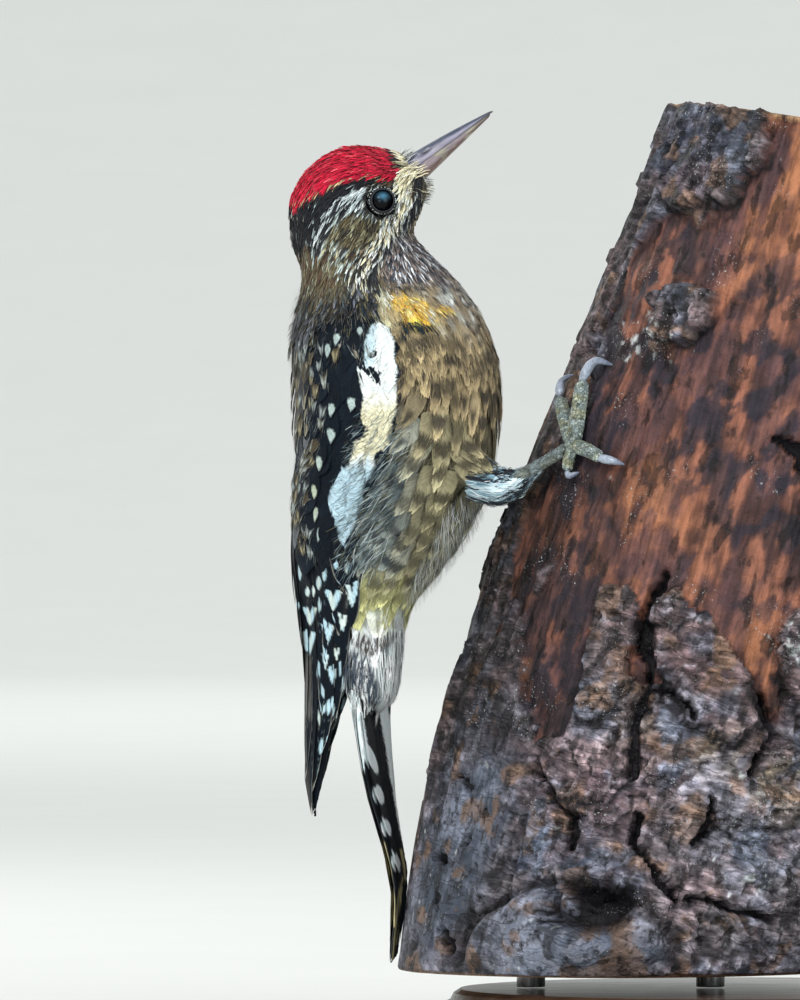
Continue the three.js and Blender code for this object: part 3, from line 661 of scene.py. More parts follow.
guides_at, guides_way = [], []
for where, way in LIE_GUIDES:
    for side in (1, -1):
        guides_at.append(from_bird(where[0], side * where[1], where[2]))
        ahead = from_bird(where[0] + way[0], side * (where[1] + way[1]), where[2] + way[2])
        guides_way.append((ahead - guides_at[-1]) / MM)
for side_name, side in (("right", -1), ("left", 1)):
    low, high = (np.array(corner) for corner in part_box(f"thigh_{side_name}"))
    hip = np.array((low[0], high[1] if side < 0 else low[1], high[2]))
    heel = np.array((high[0], low[1] if side < 0 else high[1], low[2]))
    for share in (0.35, 0.65, 0.95):
        guides_at.append(hip + share * (heel - hip))
        guides_way.append((heel - hip) / np.linalg.norm(heel - hip))
line_way = np.gradient(COMB_LINE, axis=0)
line_way /= np.linalg.norm(line_way, axis=1)[:, None]
comb_at = np.vstack([COMB_LINE, guides_at])
comb_way = np.vstack([line_way, guides_way])
comb_reach = np.array([10.0] * len(COMB_LINE) + [6.5] * (len(guides_at) - 6) + [3.2] * 6) * MM
comb_weight = np.array([1.0] * len(COMB_LINE) + [2.8] * (len(guides_at) - 6) + [14.0] * 6)
line_steps = np.linalg.norm(np.diff(COMB_LINE, axis=0), axis=1)
line_run = np.concatenate([[0], np.cumsum(line_steps)]) / line_steps.sum()


def lie_of(points):
    """Which way the coat is combed at each place."""
    apart = np.linalg.norm(points[:, None] - comb_at, axis=2) / comb_reach
    weight = comb_weight * np.exp(-0.5 * apart * apart) + 1e-9 / (apart + 0.1)
    return weight @ comb_way


def unwrap(points):
    """An unwrap of the skin: the turn round the comb line, and the share of its run."""
    apart = np.linalg.norm(points[:, None] - COMB_LINE, axis=2)
    weight = np.exp(-0.5 * (apart - apart.min(1, keepdims=True)) / MM)
    weight /= weight.sum(1, keepdims=True)
    centre, way = weight @ COMB_LINE, weight @ line_way
    run = weight @ line_run + ((points - centre) * way).sum(1) / line_steps.sum()
    side = np.cross(way, (0, 1, 0))
    away = points - centre
    turn = np.arctan2(away[:, 1], (away * side).sum(1))
    return np.stack([0.5 + turn / (2 * math.pi) * 0.99, 0.06 + 0.88 * run], 1)


def curve(value, *stops):
    """Straight lines between stops, each (place, value)."""
    places, values = zip(*stops)
    return np.interp(value, places, values)


RED = (0.6, 0.01, 0.045)
BLACK = (0.012, 0.014, 0.018)
CREAM = (0.9, 0.84, 0.6)


def head_marks(points, chance):
    """The head's colours, streaked by each tuft's own chance from 0 to 1."""
    along, side, up = in_head(points)
    eye = np.hypot(along - EYE_PLACE[0], up - EYE_PLACE[2])

    def pick(light, dark, share):
        return mix(dark, light, chance < share)

    tone = pick((0.5, 0.6, 0.58), (0.026, 0.029, 0.03), 0.4)
    tone = mix(tone, pick((0.4, 0.38, 0.24), (0.11, 0.08, 0.048), 0.4), chance * 7.3 % 1 < 0.38)
    # Ear feathers of dark olive, then a plain brown nape.
    ear = ramp(spot(along, up + 0.55 * (along - 14.5), 14.5, -8.6, 7.4, 4.4), 0.3, 0.55)
    olive = mix((0.115, 0.095, 0.05), (0.045, 0.042, 0.032), chance * 2.3 % 1 < 0.45)
    tone = mix(tone, mix(olive, (0.33, 0.32, 0.2), chance > 0.82), ear)
    nape = ramp(-along - 0.5 * ramp(up, -14, -4) * 6 + 3 * (chance - 0.5), -9, -5) * ramp(-up, 0, 3)
    brown = mix((0.105, 0.066, 0.04), (0.15, 0.125, 0.068), chance * 3.1 % 1 < 0.5)
    tone = mix(tone, mix(brown, (0.34, 0.37, 0.27), chance > 0.88), nape)
    # The cream stripe from the bill, under the eye and down the side of the neck.
    middle = curve(up, (-20, 9.5), (-17.5, 11.1), (-14.5, 16.5), (-11.6, 21.9), (-8.4, 26.6), (-3.1, 29.8),
                   (1, 33.5), (6, 34))
    width = curve(up, (-20, 1.2), (-16, 2.5), (-12, 3.1), (-8, 2.9), (-3, 2.9), (1, 3.6), (6, 3.6))
    off_middle = (along - middle) * curve(up, (-16, 0.7), (-10, 0.8), (-4, 1))
    cream = np.exp(-((np.abs(off_middle) / width) ** 4)) > 0.25 + 0.5 * (chance * 4.3 % 1)
    share = curve(up, (-20, 0.42), (-14, 0.55), (-8, 0.78), (-3, 0.92))
    foot = mix((0.36, 0.32, 0.2), (0.045, 0.042, 0.036), ramp(-up, 4, 9))
    pale_part = mix(CREAM, (0.8, 0.87, 0.84), (chance * 9.1 % 1 < 0.45) * ramp(-up, 2, 7))
    # Below it the dark line along the jaw, the brown throat and the lilac collar.
    jaw_top, jaw_foot = width * 0.95, width * 0.95 + 2.4
    lilac = pick((0.62, 0.66, 0.7), (0.05, 0.055, 0.072), 0.34)
    lilac = mix(lilac, (0.23, 0.185, 0.165), chance * 5.9 % 1 < 0.42)
    # Two dark bands run back from the eye, with a white streak between, and the red cap lies over them.
    low = curve(along, (0, -5.0), (5, -4.2), (8.5, -1.6), (12, 0.6), (14.8, 1.1), (20, 0.6), (25, 0.2))
    red_edge = curve(along, (1.5, 9), (4, 4.6), (9.5, 4.3), (16, 3.6), (19, 3.0), (23, 2.2), (26, -0.2),
                     (28.6, -0.9), (30.6, 1.4), (31.2, 9))
    second = (up < low - 2.0 + chance) & (up > low - 5.2 + chance) & (along > 3) & (along < 19)
    streak = (up <= low + 0.6 * chance) & (up > low - 2.3 + chance) & (along > 4) & (along < 21)
    brow = curve(along, (4, 0.35), (12, 0.5), (17, 0.85), (21, 0.95))
    cap = (up > red_edge + 0.5 * (chance - 0.5)) & (along < 30.4) & (along > 3.2)
    red = mix((0.33, 0.004, 0.022), RED, ramp(chance, 0, 0.6))
    red = mix(red, (0.8, 0.1, 0.13), ramp(chance, 0.85, 1))
    for place, colours in (
            (cream, mix(foot, pale_part, chance < share)),
            ((off_middle > jaw_top) & (off_middle < jaw_foot) & (up < 0),
             pick((0.42, 0.46, 0.44), (0.025, 0.028, 0.032), 0.2)),
            ((off_middle >= jaw_foot) & (up < -1), pick((0.52, 0.47, 0.31), (0.17, 0.135, 0.08), 0.3)),
            (ramp(-up - 0.2 * (along - 26), 11.5, 15.5) * ramp(off_middle, 3.0, 5.5), lilac),
            (second, pick((0.45, 0.52, 0.5), (0.022, 0.025, 0.03), 0.27)),
            (streak, pick((0.66, 0.75, 0.77), BLACK, brow)),
            (ramp(spot(along, up, 17.3, -2.6, 2.0, 3.4), 0.3, 0.5),
             pick((0.6, 0.69, 0.7), (0.03, 0.034, 0.036), 0.75)),
            ((up > low) & (up < red_edge) & (along < 29.6) & (along > -2),
             pick((0.3, 0.36, 0.36), BLACK, 0.05)),
            ((along > 28.6) & (along < 31.6) & (up > 0.6), pick((0.4, 0.38, 0.22), BLACK, 0.15)),
            ((along < 5.5) & (up > 0), pick((0.33, 0.36, 0.33), BLACK, 0.1)),
            (cap, red),
            (cap & (up < red_edge + 0.9) & (along < 28) & (chance > 0.72), (0.5, 0.38, 0.22)),
            ((eye < 4.6) & ~cap, pick((0.5, 0.54, 0.5), (0.016, 0.018, 0.02), 0.24))):
        tone = mix(tone, colours, place)
    return tone


def turn_of(belly, left):
    """Degrees round the body, from 0 at the belly to 180 at the back."""
    return np.degrees(np.arctan2(np.abs(left), belly))


def seen_from_right(points):
    """Places in the side view, in millimetres. Those on the left are mirrored."""
    belly, left, up = in_bird(points)
    place = from_bird(belly, -np.abs(left), up) / MM
    return place[..., 0], place[..., 2]


def shoulder_patches(points, tone, other):
    """Lays the gold, cream and black patches of the breast's side over a tone."""
    x, z = seen_from_right(points)
    gold = ramp(spot(x, z + 0.33 * (x + 80.5), -80.5, 174.0, 6.6, 3.3), 0.34, 0.55)
    tone = mix(tone, mix((0.8, 0.62, 0.26), (0.78, 0.47, 0.075), other < 0.5), gold)
    cream = ramp(spot(x, z, -87.0, 174.6, 1.8, 4.6), 0.34, 0.6) * (other < 0.8)
    tone = mix(tone, (0.66, 0.64, 0.42), cream)
    wedge = ramp(spot(x, z + 0.2 * (x + 79), -79.0, 167.6, 5.2, 2.6), 0.22, 0.4)
    return mix(tone, (0.009, 0.014, 0.02), wedge)


def body_marks(points, chance):
    """The ground colour and the mark colour of feathers on the body."""
    belly, left, up = in_bird(points)
    turn = turn_of(belly + 2.0, left)
    other = (chance * 5.7) % 1

    def either(first, second, share):
        return mix(first, second, other < share)

    ground = mix((0.345, 0.272, 0.15), (0.335, 0.305, 0.18), ramp(-up, -150, -134))
    mark = mix((0.028, 0.025, 0.022), (0.048, 0.042, 0.026), ramp(-up, -150, -134))
    warm = 0.55 * ramp(-turn, -40, -10) * ramp(up, 132, 150) * (other < 0.6)
    ground = mix(ground, (0.47, 0.36, 0.21), warm)
    blotch = mix((0.014, 0.021, 0.031), (0.2, 0.18, 0.1), other > 0.5)
    blotch = mix(blotch, (0.17, 0.17, 0.21), other > 0.8)
    # The breast, flanks, vent, the underside before the tail, the back, the neck and the mantle.
    for share, cover_share, grounds, marks in (
            (ramp(up, 164, 175) * ramp(-turn, -52, -28), 1,
             either((0.32, 0.26, 0.18), (0.58, 0.6, 0.56), 0.36), (0.035, 0.035, 0.04)),
            (ramp(turn, 46, 70) * ramp(-up, -150, -138) * ramp(up, 104, 112), 0.85,
             either((0.2, 0.245, 0.245), (0.34, 0.38, 0.35), 0.4), (0.026, 0.033, 0.038)),
            (ramp(-up, -108, -101) * ramp(up, 93, 96), 1, (0.52, 0.52, 0.24), (0.2, 0.19, 0.08)),
            (ramp(-up, -98, -94), 1, (0.95, 1.02, 1.02), (0.11, 0.088, 0.085)),
            (ramp(turn, 94, 108) * ramp(up, 100, 106), 1,
             either((0.2, 0.18, 0.105), (0.42, 0.44, 0.36), 0.3), (0.018, 0.02, 0.024)),
            (ramp(up, 172, 178) * ramp(turn, 44, 74), 1,
             either((0.15, 0.115, 0.07), (0.36, 0.34, 0.24), 0.4), (0.02, 0.022, 0.026)),
            (ramp(turn, 66, 84) * ramp(up, 164, 170), 1, blotch, (0.01, 0.014, 0.021))):
        ground, mark = mix(ground, grounds, share * cover_share), mix(mark, marks, share)
    ground = shoulder_patches(points, ground, other)
    mark = shoulder_patches(points, mark, 0 * other + 0.2)
    leg = (off(thigh_lie, points) < 1.0 * MM) & (points[:, 0] > -62 * MM)
    ground = mix(ground, either((0.05, 0.07, 0.085), (0.3, 0.37, 0.4), 0.3), leg)
    mark = mix(mark, (0.018, 0.022, 0.028), leg)
    vary = chance[:, None] - 0.5
    return ground * (1 + 0.4 * vary), mark * (1 + 0.5 * vary)


def on_head(points):
    """1 on the head and 0 on the body."""
    along, side, up = in_head(points)
    return ramp(up + 0.28 * along, -19, -15)


thigh_lie = surface(joined_copy("thigh_right", "thigh_left"))
skin_at = numbers(flesh.vertices, "co", 3)
rng = seeded(20)
chance = rng.random(len(skin_at))
head_share = on_head(skin_at)
ground, mark = body_marks(skin_at, chance)
under = mix(mix(ground, mark, 0.45), head_marks(skin_at, chance), head_share)
paint(flesh, under * 0.6)
lie = surface(cover)
lift_off(flesh, -(COAT_DEPTH + (FACE_DEPTH - COAT_DEPTH) * head_share + 0.35 * MM))
skin_finish = Finish("feathered_skin", 0.8)
down = skin_finish.grit(skin_finish.place(), 1800, 4.0)
skin_finish.toned(down, 0.6, 1.3)
skin_finish.bump(down, 0.0006)
add_piece("skin", flesh, skin_finish, "body_feathers", *FLESH)

# ---- Coat ----
# Small feathers, each a thin vane or a few loose barbs, rooted under the lie of the coat and combed
# along it, so that each covers the roots of the next.
TRACE_STEPS = 5
PATCH = 0.003


def scatter(mesh, spacing, wanted, seed, stretch=1.0):
    """Places all over a mesh where wanted, no two closer than the spacing (stretched upwards)."""
    draw = seeded(seed)
    mesh.calc_loop_triangles()
    corners = numbers(mesh.vertices, "co", 3)[numbers(mesh.loop_triangles, "vertices", 3).astype(int)]
    first, second, third = corners[:, 0], corners[:, 1], corners[:, 2]
    area = np.linalg.norm(np.cross(second - first, third - first), axis=1) / 2
    which = np.repeat(np.arange(len(area)), draw.poisson(area * 2.6 / spacing ** 2))
    a, b = draw.random((2, len(which), 1))
    a, b = np.where(a + b > 1, 1 - a, a), np.where(a + b > 1, 1 - b, b)
    seats = first[which] + a * (second - first)[which] + b * (third - first)[which]
    seats = seats[wanted(seats, draw.random(len(seats)))]
    seats = seats[draw.permutation(len(seats))] / (1, 1, stretch)
    near = [(i, j, k) for i in (-1, 0, 1) for j in (-1, 0, 1) for k in (-1, 0, 1)]
    cells, kept = {}, []
    at_cells = np.floor(seats / spacing).astype(int)
    for number, (p, (a, b, c)) in enumerate(zip(seats.tolist(), at_cells.tolist())):
        others = (q for i, j, k in near for q in cells.get((a + i, b + j, c + k), ()))
        if all((p[0] - q[0]) ** 2 + (p[1] - q[1]) ** 2 + (p[2] - q[2]) ** 2 >= spacing ** 2
               for q in others):
            cells.setdefault((a, b, c), []).append(p)
            kept.append(number)
    return seats[kept] * (1, 1, stretch)


def unit(vectors):
    return vectors / np.maximum(np.linalg.norm(vectors, axis=-1, keepdims=True), 1e-12)


class Lay:
    """Feathers' middle lines along a surface, and which way is out and across."""

    def __init__(self, points, normals, lengths):
        self.points, self.lengths = points, lengths
        smooth = normals.copy()
        smooth[:, 1:-1] = normals[:, :-2] + 2 * normals[:, 1:-1] + normals[:, 2:]
        self.out = unit(smooth)
        self.across = unit(np.cross(self.out, np.gradient(points, axis=1)))
        self.roots = points[:, 0]

    def at(self, who, along, across, lift):
        """Places: share of the length along, and metres across and off the surface."""
        last = self.points.shape[1] - 1
        whole = np.clip(np.floor(along * last).astype(int), 0, last - 1)
        part = (along * last - whole)[..., None]
        centre, side, out = (field[who, whole] * (1 - part) + field[who, whole + 1] * part
                             for field in (self.points, self.across, self.out))
        return centre + side * across[..., None] + out * lift[..., None]


def comb(roots, lengths, swing):
    """Follows the lie from each root for its length, swung aside by an angle."""
    here, points, normals = roots, [], []
    for step in range(TRACE_STEPS + 1):
        found = [lie.find_nearest(p) for p in here.tolist()]
        here = np.array([f[0][:] for f in found])
        out = np.array([f[1][:] for f in found])
        points.append(here)
        normals.append(out)
        way = lie_of(here)
        way = unit(way - (way * out).sum(1, keepdims=True) * out)
        way = way * np.cos(swing)[:, None] + np.cross(out, way) * np.sin(swing)[:, None]
        here = here + way * (lengths / TRACE_STEPS)[:, None]
    return Lay(np.stack(points, 1), np.stack(normals, 1), lengths)


def sheets(parents, columns, rows):
    """A sheet for each parent: whose each corner is, its place across and along, and the faces."""
    grid = bmesh.new()
    bmesh.ops.create_grid(grid, x_segments=columns, y_segments=rows, size=1)
    flat = np.array([v.co[:2] for v in grid.verts])
    faces = np.array([[v.index for v in f.verts] for f in grid.faces])
    grid.free()
    who = np.repeat(parents[:, None], len(flat), 1)
    return who, flat[:, 0] + 0.0 * who, flat[:, 1] / 2 + 0.5 + 0.0 * who, faces


def coat_mesh(places, faces, colours, vane, patches):
    """One mesh of many like sheets. The arrays are (sheets, corners of a sheet, ...)."""
    count, size = places.shape[:2]
    mesh = bpy.data.meshes.new("coat")
    every = (faces[None] + (np.arange(count) * size)[:, None, None]).reshape(-1, 4).astype(np.int32)
    ends = every.reshape(-1)
    mesh.vertices.add(count * size)
    mesh.vertices.foreach_set("co", places.reshape(-1))
    mesh.loops.add(every.size)
    mesh.loops.foreach_set("vertex_index", ends)
    mesh.polygons.add(len(every))
    mesh.polygons.foreach_set("loop_start", (np.arange(len(every)) * 4).astype(np.int32))
    mesh.update(calc_edges=True)
    mesh.validate()
    mesh.shade_smooth()
    paint(mesh, colours.reshape(-1, 3))
    for layer_name, values in (("OFBake", patches), ("vane", vane)):
        layer = mesh.uv_layers.new(name=layer_name)
        layer.data.foreach_set("uv", values.reshape(-1, 2)[ends].astype(np.float32).reshape(-1))
    return mesh


def vanes(lay, columns, rows, root, tip, camber, taper, fray, colour_at, seed):
    """Feather vanes, with how far the root and the tip stand off the surface."""
    draw = seeded(seed)
    who, u, v, faces = sheets(np.arange(len(lay.roots)), columns, rows)
    swept = v * (1 - 0.2 * u * u)
    swept = swept + fray * ramp(v, 0.6, 1) * draw.normal(size=who.shape)
    half = lay.width[:, None] / 2 * (0.3 + 0.7 * np.sin(np.pi * held(v) ** taper * 0.94) ** 0.8)
    root, tip = ((value + 0 * lay.lengths)[:, None] for value in (root, tip))
    lift = root * (1 - v) ** 1.1 + tip * v - camber * (u * half) ** 2
    places = lay.at(who, swept, u * half, lift)
    patches = unwrap(lay.roots)[:, None] + np.stack([u * 0.5, v - 0.5], -1) * PATCH
    return coat_mesh(places, faces, colour_at(who, u, v, draw), np.stack([u, v], -1), patches)


def barbs(lay, each, length, width, tip, spread, reach, colour_at, seed):
    """Loose barbs that run out past each feather's edge."""
    draw = seeded(seed)
    parent = np.repeat(np.arange(len(lay.roots)), each)
    count = len(parent)
    who, u, v, faces = sheets(parent, 1, 3)
    start_u = draw.uniform(-1, 1, count)[:, None]
    start_v = draw.uniform(reach[0], reach[1], count)[:, None]
    run = (length * draw.uniform(0.6, 1.25, count))[:, None]
    lean = spread * start_u + draw.normal(0, 0.1, (count, 1))
    half = lay.width[parent][:, None] / 2 * 0.8
    across = start_u * half + run * lean * v + u * width / 2 * (1.1 - v)
    along = start_v * (1 - 0.12 * start_u ** 2) + run * v / lay.lengths[parent][:, None]
    high = (tip * draw.uniform(0.4, 1.3, count))[:, None]
    lift = high * (0.5 + 0.5 * v) + draw.normal(0, 0.08 * MM, (count, 1)) * v
    places = lay.at(who, along, across, lift)
    shade = colour_at(who, np.clip(start_u + 0 * u, -1, 1), held(along), draw)
    shade = shade * draw.lognormal(0.05, 0.24, (count, 1, 1)) * (0.9 + 0.25 * v)[..., None]
    patches = unwrap(lay.roots[parent])[:, None] + np.stack([start_u + 0.1 * u, v - 0.5], -1) * PATCH * 0.5
    return coat_mesh(places, faces, shade, np.stack([0 * who + u * 0.1, v], -1), patches)


def plumage(name, roughness, sheen, barb_scale, gloss=0.16):
    """The finish of feathers, with fine slanting barbs."""
    made = Finish(name, roughness, Sheen_Weight=sheen, Sheen_Roughness=0.5, Specular_IOR_Level=gloss)
    split = made.add("SeparateXYZ", made.add("UVMap", uv_map="vane").outputs[0])
    across, along = split.outputs[0], split.outputs[1]
    slant = made.maths("SUBTRACT", along, made.maths("MULTIPLY", made.maths("ABSOLUTE", across), 0.3))
    slant = made.maths("MULTIPLY", slant, barb_scale)
    line = made.add("CombineXYZ", slant, made.maths("MULTIPLY", across, 1.4))
    grown = made.add("Mapping", made.place(), in_Scale=(220, 220, 220))
    turned = made.add("VectorMath", line.outputs[0], grown.outputs[0], operation="ADD")
    lines = made.add("TexNoise", turned.outputs[0], in_Scale=1.0, in_Detail=2.0).outputs[0]
    made.toned(lines, 0.7, 1.32)
    made.bump(lines, 0.00025, 0.5)
    return made


# The head's coat: short narrow tufts, finest round the eye and at the bill, sleek on the crown, and
# loose strands over them that are longest on the cheek and the nape.
def head_wanted(points, draw):
    along, side, up = in_head(points)
    eye = np.hypot(along - EYE_PLACE[0], up - EYE_PLACE[2])
    bare = (eye < 3.3) & (side > 5)
    share = on_head(points)
    return (share > 0.02 + 0.9 * draw * (1 - share)) & ~bare & (in_bird(points)[2] > 172)


def on_crown(points):
    along, side, up = in_head(points)
    return (up > 2.4) & (along > -1)


def head_tuft_size(points):
    along, side, up = in_head(points)
    eye_off = np.hypot(along - EYE_PLACE[0], up - EYE_PLACE[2])
    size = curve(eye_off, (3.3, 0.4), (6, 0.75), (12, 1.1), (22, 1.6))
    return size * np.where(on_crown(points), 1.15, 1.0) * curve(along, (-2, 1.15), (28, 1.0), (34, 0.8))


head_plumes = plumage("head_plumage", 0.62, 0.15, 9.0)
for name, spacing, length, width, columns, rows, chosen, seed in (
        ("crown_coat", 0.54, 3.6, 0.62, 2, 4, on_crown, 31),
        ("cheek_coat", 0.54, 4.3, 0.72, 2, 4, lambda p: ~on_crown(p), 33),
        ("head_strands", 0.62, 5.2, 0.17, 1, 5, lambda p: in_head(p)[0] < 40, 35)):
    roots = scatter(cover, spacing * MM, lambda p, d: head_wanted(p, d) & chosen(p), seed)
    rng = seeded(seed + 1)
    count = len(roots)
    size = head_tuft_size(roots)
    lay = comb(roots, length * MM * size * rng.uniform(0.75, 1.25, count), rng.normal(0, 0.13, count))
    lay.width = width * MM * np.minimum(size, 1.2) * rng.uniform(0.8, 1.2, count)
    root_tones = head_marks(lay.points[:, 2], rng.random(count)) * rng.lognormal(0, 0.24, (count, 1))

    def head_colour(who, u, v, draw):
        return root_tones[who] * (0.66 + 0.5 * v)[..., None]

    stand = (0.2 if rows == 5 else 0.05) * MM
    made = vanes(lay, columns, rows, -0.9 * MM, stand + rng.normal(0, 0.1 * MM, count), 40, 0.5, 0.05,
                 head_colour, seed + 2)
    add_piece(name, made, head_plumes, "head_feathers")

# The body's coat: broad soft feathers with dark shafts on the breast, bowed bars on the belly, hair
# like barbs on the flanks, long barred coverts under the tail and mottled ones on the back.
WING_FAN = (
    (50.2, -18.6, 90, 172), (57.6, -17.0, 80, 173), (67.4, -15.0, 78, 174), (79.6, -12.6, 76, 174),
    (91.9, -9.5, 83, 173), (104.1, -6.5, 78, 171), (116.4, -4.3, 88, 166), (128.6, -0.8, 82, 156),
    (140.9, 0.8, 73, 142), (153.1, 1.3, 70, 130), (167.8, 0.2, 69, 122), (173.5, -0.8, 72, 116))
wings_even = evened(joined_copy(*WINGS), 0.62 * MM, 0.2 * MM, 5)
wing_lie = surface(wings_even)
tail_even = evened(joined_copy("tail"), 0.5 * MM, 0.15 * MM, 3)
tail_lie = surface(tail_even)


def fan(up, column):
    """The wing's centre (1), first (2) or last turn (3) at a height."""
    return np.interp(up, [row[0] for row in WING_FAN], [row[column] for row in WING_FAN])


def wing_turn(points):
    """Degrees from the belly round the wing's own centre."""
    belly, left, up = in_bird(points)
    return turn_of(belly - fan(up, 1), left)


def body_wanted(points, draw):
    belly, left, up = in_bird(points)
    turn = wing_turn(points)
    to_wing = off(wing_lie, points)
    under_wing = (to_wing < 0.9 * MM) & ~((turn > 119) & (up > 120))
    near_wing = (to_wing < 2.2 * MM) & (up < 126) & (turn > 70)
    low = (up < 100) & (turn > 100) | (up < 84 + 4 * draw) | (off(tail_lie, points) < 0.7 * MM) & (up < 88)
    return (on_head(points) < 0.5 + 0.4 * (draw - 0.5)) & ~under_wing & ~near_wing & ~low


def split_kinds(points, spread):
    """How much a place grows of breast, belly, under tail, back and throat feathers."""
    belly, left, up = in_bird(points)
    turn = wing_turn(points)
    back = ramp(turn + spread * 6, 96, 106) * ramp(up, 100, 106)
    under = ramp(-up, -101, -97) * (1 - back)
    low = ramp(-up + spread * 4, -148, -138) * (1 - under) * (1 - back)
    throat = ramp(up + spread * 2, 168, 174) * (1 - back)
    return (1 - low) * (1 - under) * (1 - back) * (1 - throat), low, under, back, throat


body_plumes = plumage("body_plumage", 0.75, 0.12, 30.0)
roots = scatter(cover, 3.0 * MM, body_wanted, 41, 1.55)
fine_roots = scatter(cover, 1.5 * MM, lambda p, d: body_wanted(p, d) & (in_bird(p)[2] > 167 + 4 * d),
                     42, 1.2)
roots = np.vstack([roots[in_bird(roots)[2] < 170], fine_roots])
roots = roots[(off(thigh_lie, roots) > 1.0 * MM) | (roots[:, 0] < -64.5 * MM)]
rng = seeded(43)
count = len(roots)
body_chance = rng.random(count)
breast, low, under_tail, back, throat = split_kinds(roots, rng.normal(size=count))
up = in_bird(roots)[2]
vent = ramp(-up, -112, -106) * ramp(up, 97, 101)
long = (12.9 * breast + 11.2 * low + 12.5 * under_tail + 9.6 * back * (1 - throat) + 5.6 * throat) * MM
long = np.clip(long, 5.0 * MM, 14 * MM) * rng.uniform(0.88, 1.14, count)
long = long * (1 + 0.25 * under_tail * rng.uniform(-1, 1, count))
lay = comb(roots, long, rng.normal(0, 0.08, count))
wide = (5.2 * breast + 5.8 * low + 3.8 * under_tail + 5.0 * back * (1 - throat) + 2.5 * throat) * MM
lay.width = np.clip(wide, 2.2 * MM, 6.2 * MM) * rng.uniform(0.88, 1.14, count)
ground_tone, mark_tone = body_marks(lay.points[:, 4], body_chance)
flank_share = ramp(wing_turn(roots), 52, 72) * ramp(-up, -144, -136) * ramp(up, 104, 112)
second_chance = rng.random(count)


def body_colour(who, u, v, draw):
    """Each kind's marks over the ground colour."""
    side = np.abs(u)
    strong = 0.62 + 0.38 * ramp(body_chance, 0.1, 0.5)[who]
    second = second_chance[who]
    bow = v - 0.1 * side ** 1.8 + 0.02 * draw.normal(size=v.shape)
    hood = ramp(bow, 0.42, 0.52) * ramp(-bow, -0.84, -0.72)
    wedge = np.exp(-((u / np.clip(1.5 * (0.93 - v), 0.03, 1)) ** 4))
    wedge = wedge * ramp(v, 0.5, 0.62) * ramp(-v, -0.92, -0.8)
    front_edge = ramp(side * (u * np.sign(second - 0.5) > 0), 0.58, 0.84)
    front_edge = front_edge * ramp(v, 0.45, 0.6) * ramp(-v, -0.96, -0.88)
    breast_mark = np.where(second < 0.7, hood * strong, 0.95 * wedge) + 0.9 * front_edge * (second < 0.8)
    belly_bow = ramp(bow, 0.5, 0.6) * ramp(-bow, -0.9, -0.76)
    belly_mark = belly_bow * strong + 0.45 * ramp(side, 0.7, 1.0) * ramp(-v, -0.9, -0.75)
    point = v - 0.2 * side
    under_mark = ramp(0.1 - np.abs(point - 0.7), 0, 0.05) * (second < 0.42)
    under_mark = under_mark + ramp(0.05 - np.abs(point - 0.42), 0, 0.03)
    pale = np.exp(-(((v - 0.82) / 0.11) ** 2) - ((side - 0.42) / 0.3) ** 2) * (second < 0.7)
    back_mark = held(1 - 1.2 * pale - 0.6 * ramp(side, 0.75, 0.98) * ramp(v, 0.5, 0.8))
    back_mark = back_mark * (0.62 + 0.38 * strong)
    throat_mark = ramp(0.17 - np.abs(v - 0.2 * side - 0.72), 0, 0.1) * (second < 0.6)
    parts = (breast_mark, belly_mark, under_mark, back_mark, throat_mark)
    shares = [s[who] for s in (breast, low, under_tail, back * (1 - throat), throat)]
    whole = held(sum(p * s for p, s in zip(parts, shares))) * (1 - 0.6 * vent[who])
    tone = mix(ground_tone[who], mark_tone[who], 0.93 * whole * (1 - 0.25 * flank_share[who]))
    tip = ramp(v + 0.1 * side * side, 0.86, 1.0) * 0.3
    tone = tone * (0.62 + 0.42 * ramp(v, 0.1, 0.75) + tip)[..., None]
    tone = tone * (0.8 + 0.42 * body_chance[who])[..., None]
    return tone * (1 + 0.06 * draw.normal(size=v.shape))[..., None]


def part_lay(lay, chosen):
    """The same lines for some of the feathers."""
    some = object.__new__(Lay)
    for field in ("points", "out", "across", "roots", "lengths", "width"):
        setattr(some, field, getattr(lay, field)[chosen])
    return some


for name, chosen, each in (("front_coat", back < 0.5, 56), ("back_coat", back >= 0.5, 30)):
    index = np.flatnonzero(chosen)
    some = part_lay(lay, index)
    lifted = seeded(44).normal(0, 0.09 * MM, len(index))
    made = vanes(some, 10, 14, -1.3 * MM, 0.12 * MM + lifted, 22, 0.42, 0.035,
                 lambda who, u, v, draw: body_colour(index[who], u, v, draw), 45)
    add_piece(name, made, body_plumes, "body_feathers")
    made = barbs(some, each, 2.4 * MM, 0.075 * MM, 0.18 * MM, 0.22, (0.4, 0.97),
                 lambda who, u, v, draw: 1.04 * body_colour(index[who], u, v, draw), 46)
    add_piece(name + "_barbs", made, body_plumes, "body_feathers")


# Mottled shoulder feathers hang over the top and the inner edge of each folded wing.
def on_shoulder(points, draw):
    up, turn = in_bird(points)[2], wing_turn(points)
    top = (up > 169) & (up < 182 - 5 * draw) & (turn > 78 + 8 * draw)
    return top | (turn > 110 + 5 * draw) & (turn < 136) & (up > 122) & (off(wing_lie, points) < 3 * MM)


roots = scatter(cover, 2.2 * MM, on_shoulder, 47)
rng = seeded(48)
count = len(roots)
lay = comb(roots, rng.uniform(7.5, 10.0, count) * MM, rng.normal(0, 0.12, count))
lay.width = rng.uniform(3.0, 4.4, count) * MM
shoulder_chance = rng.random((3, count))


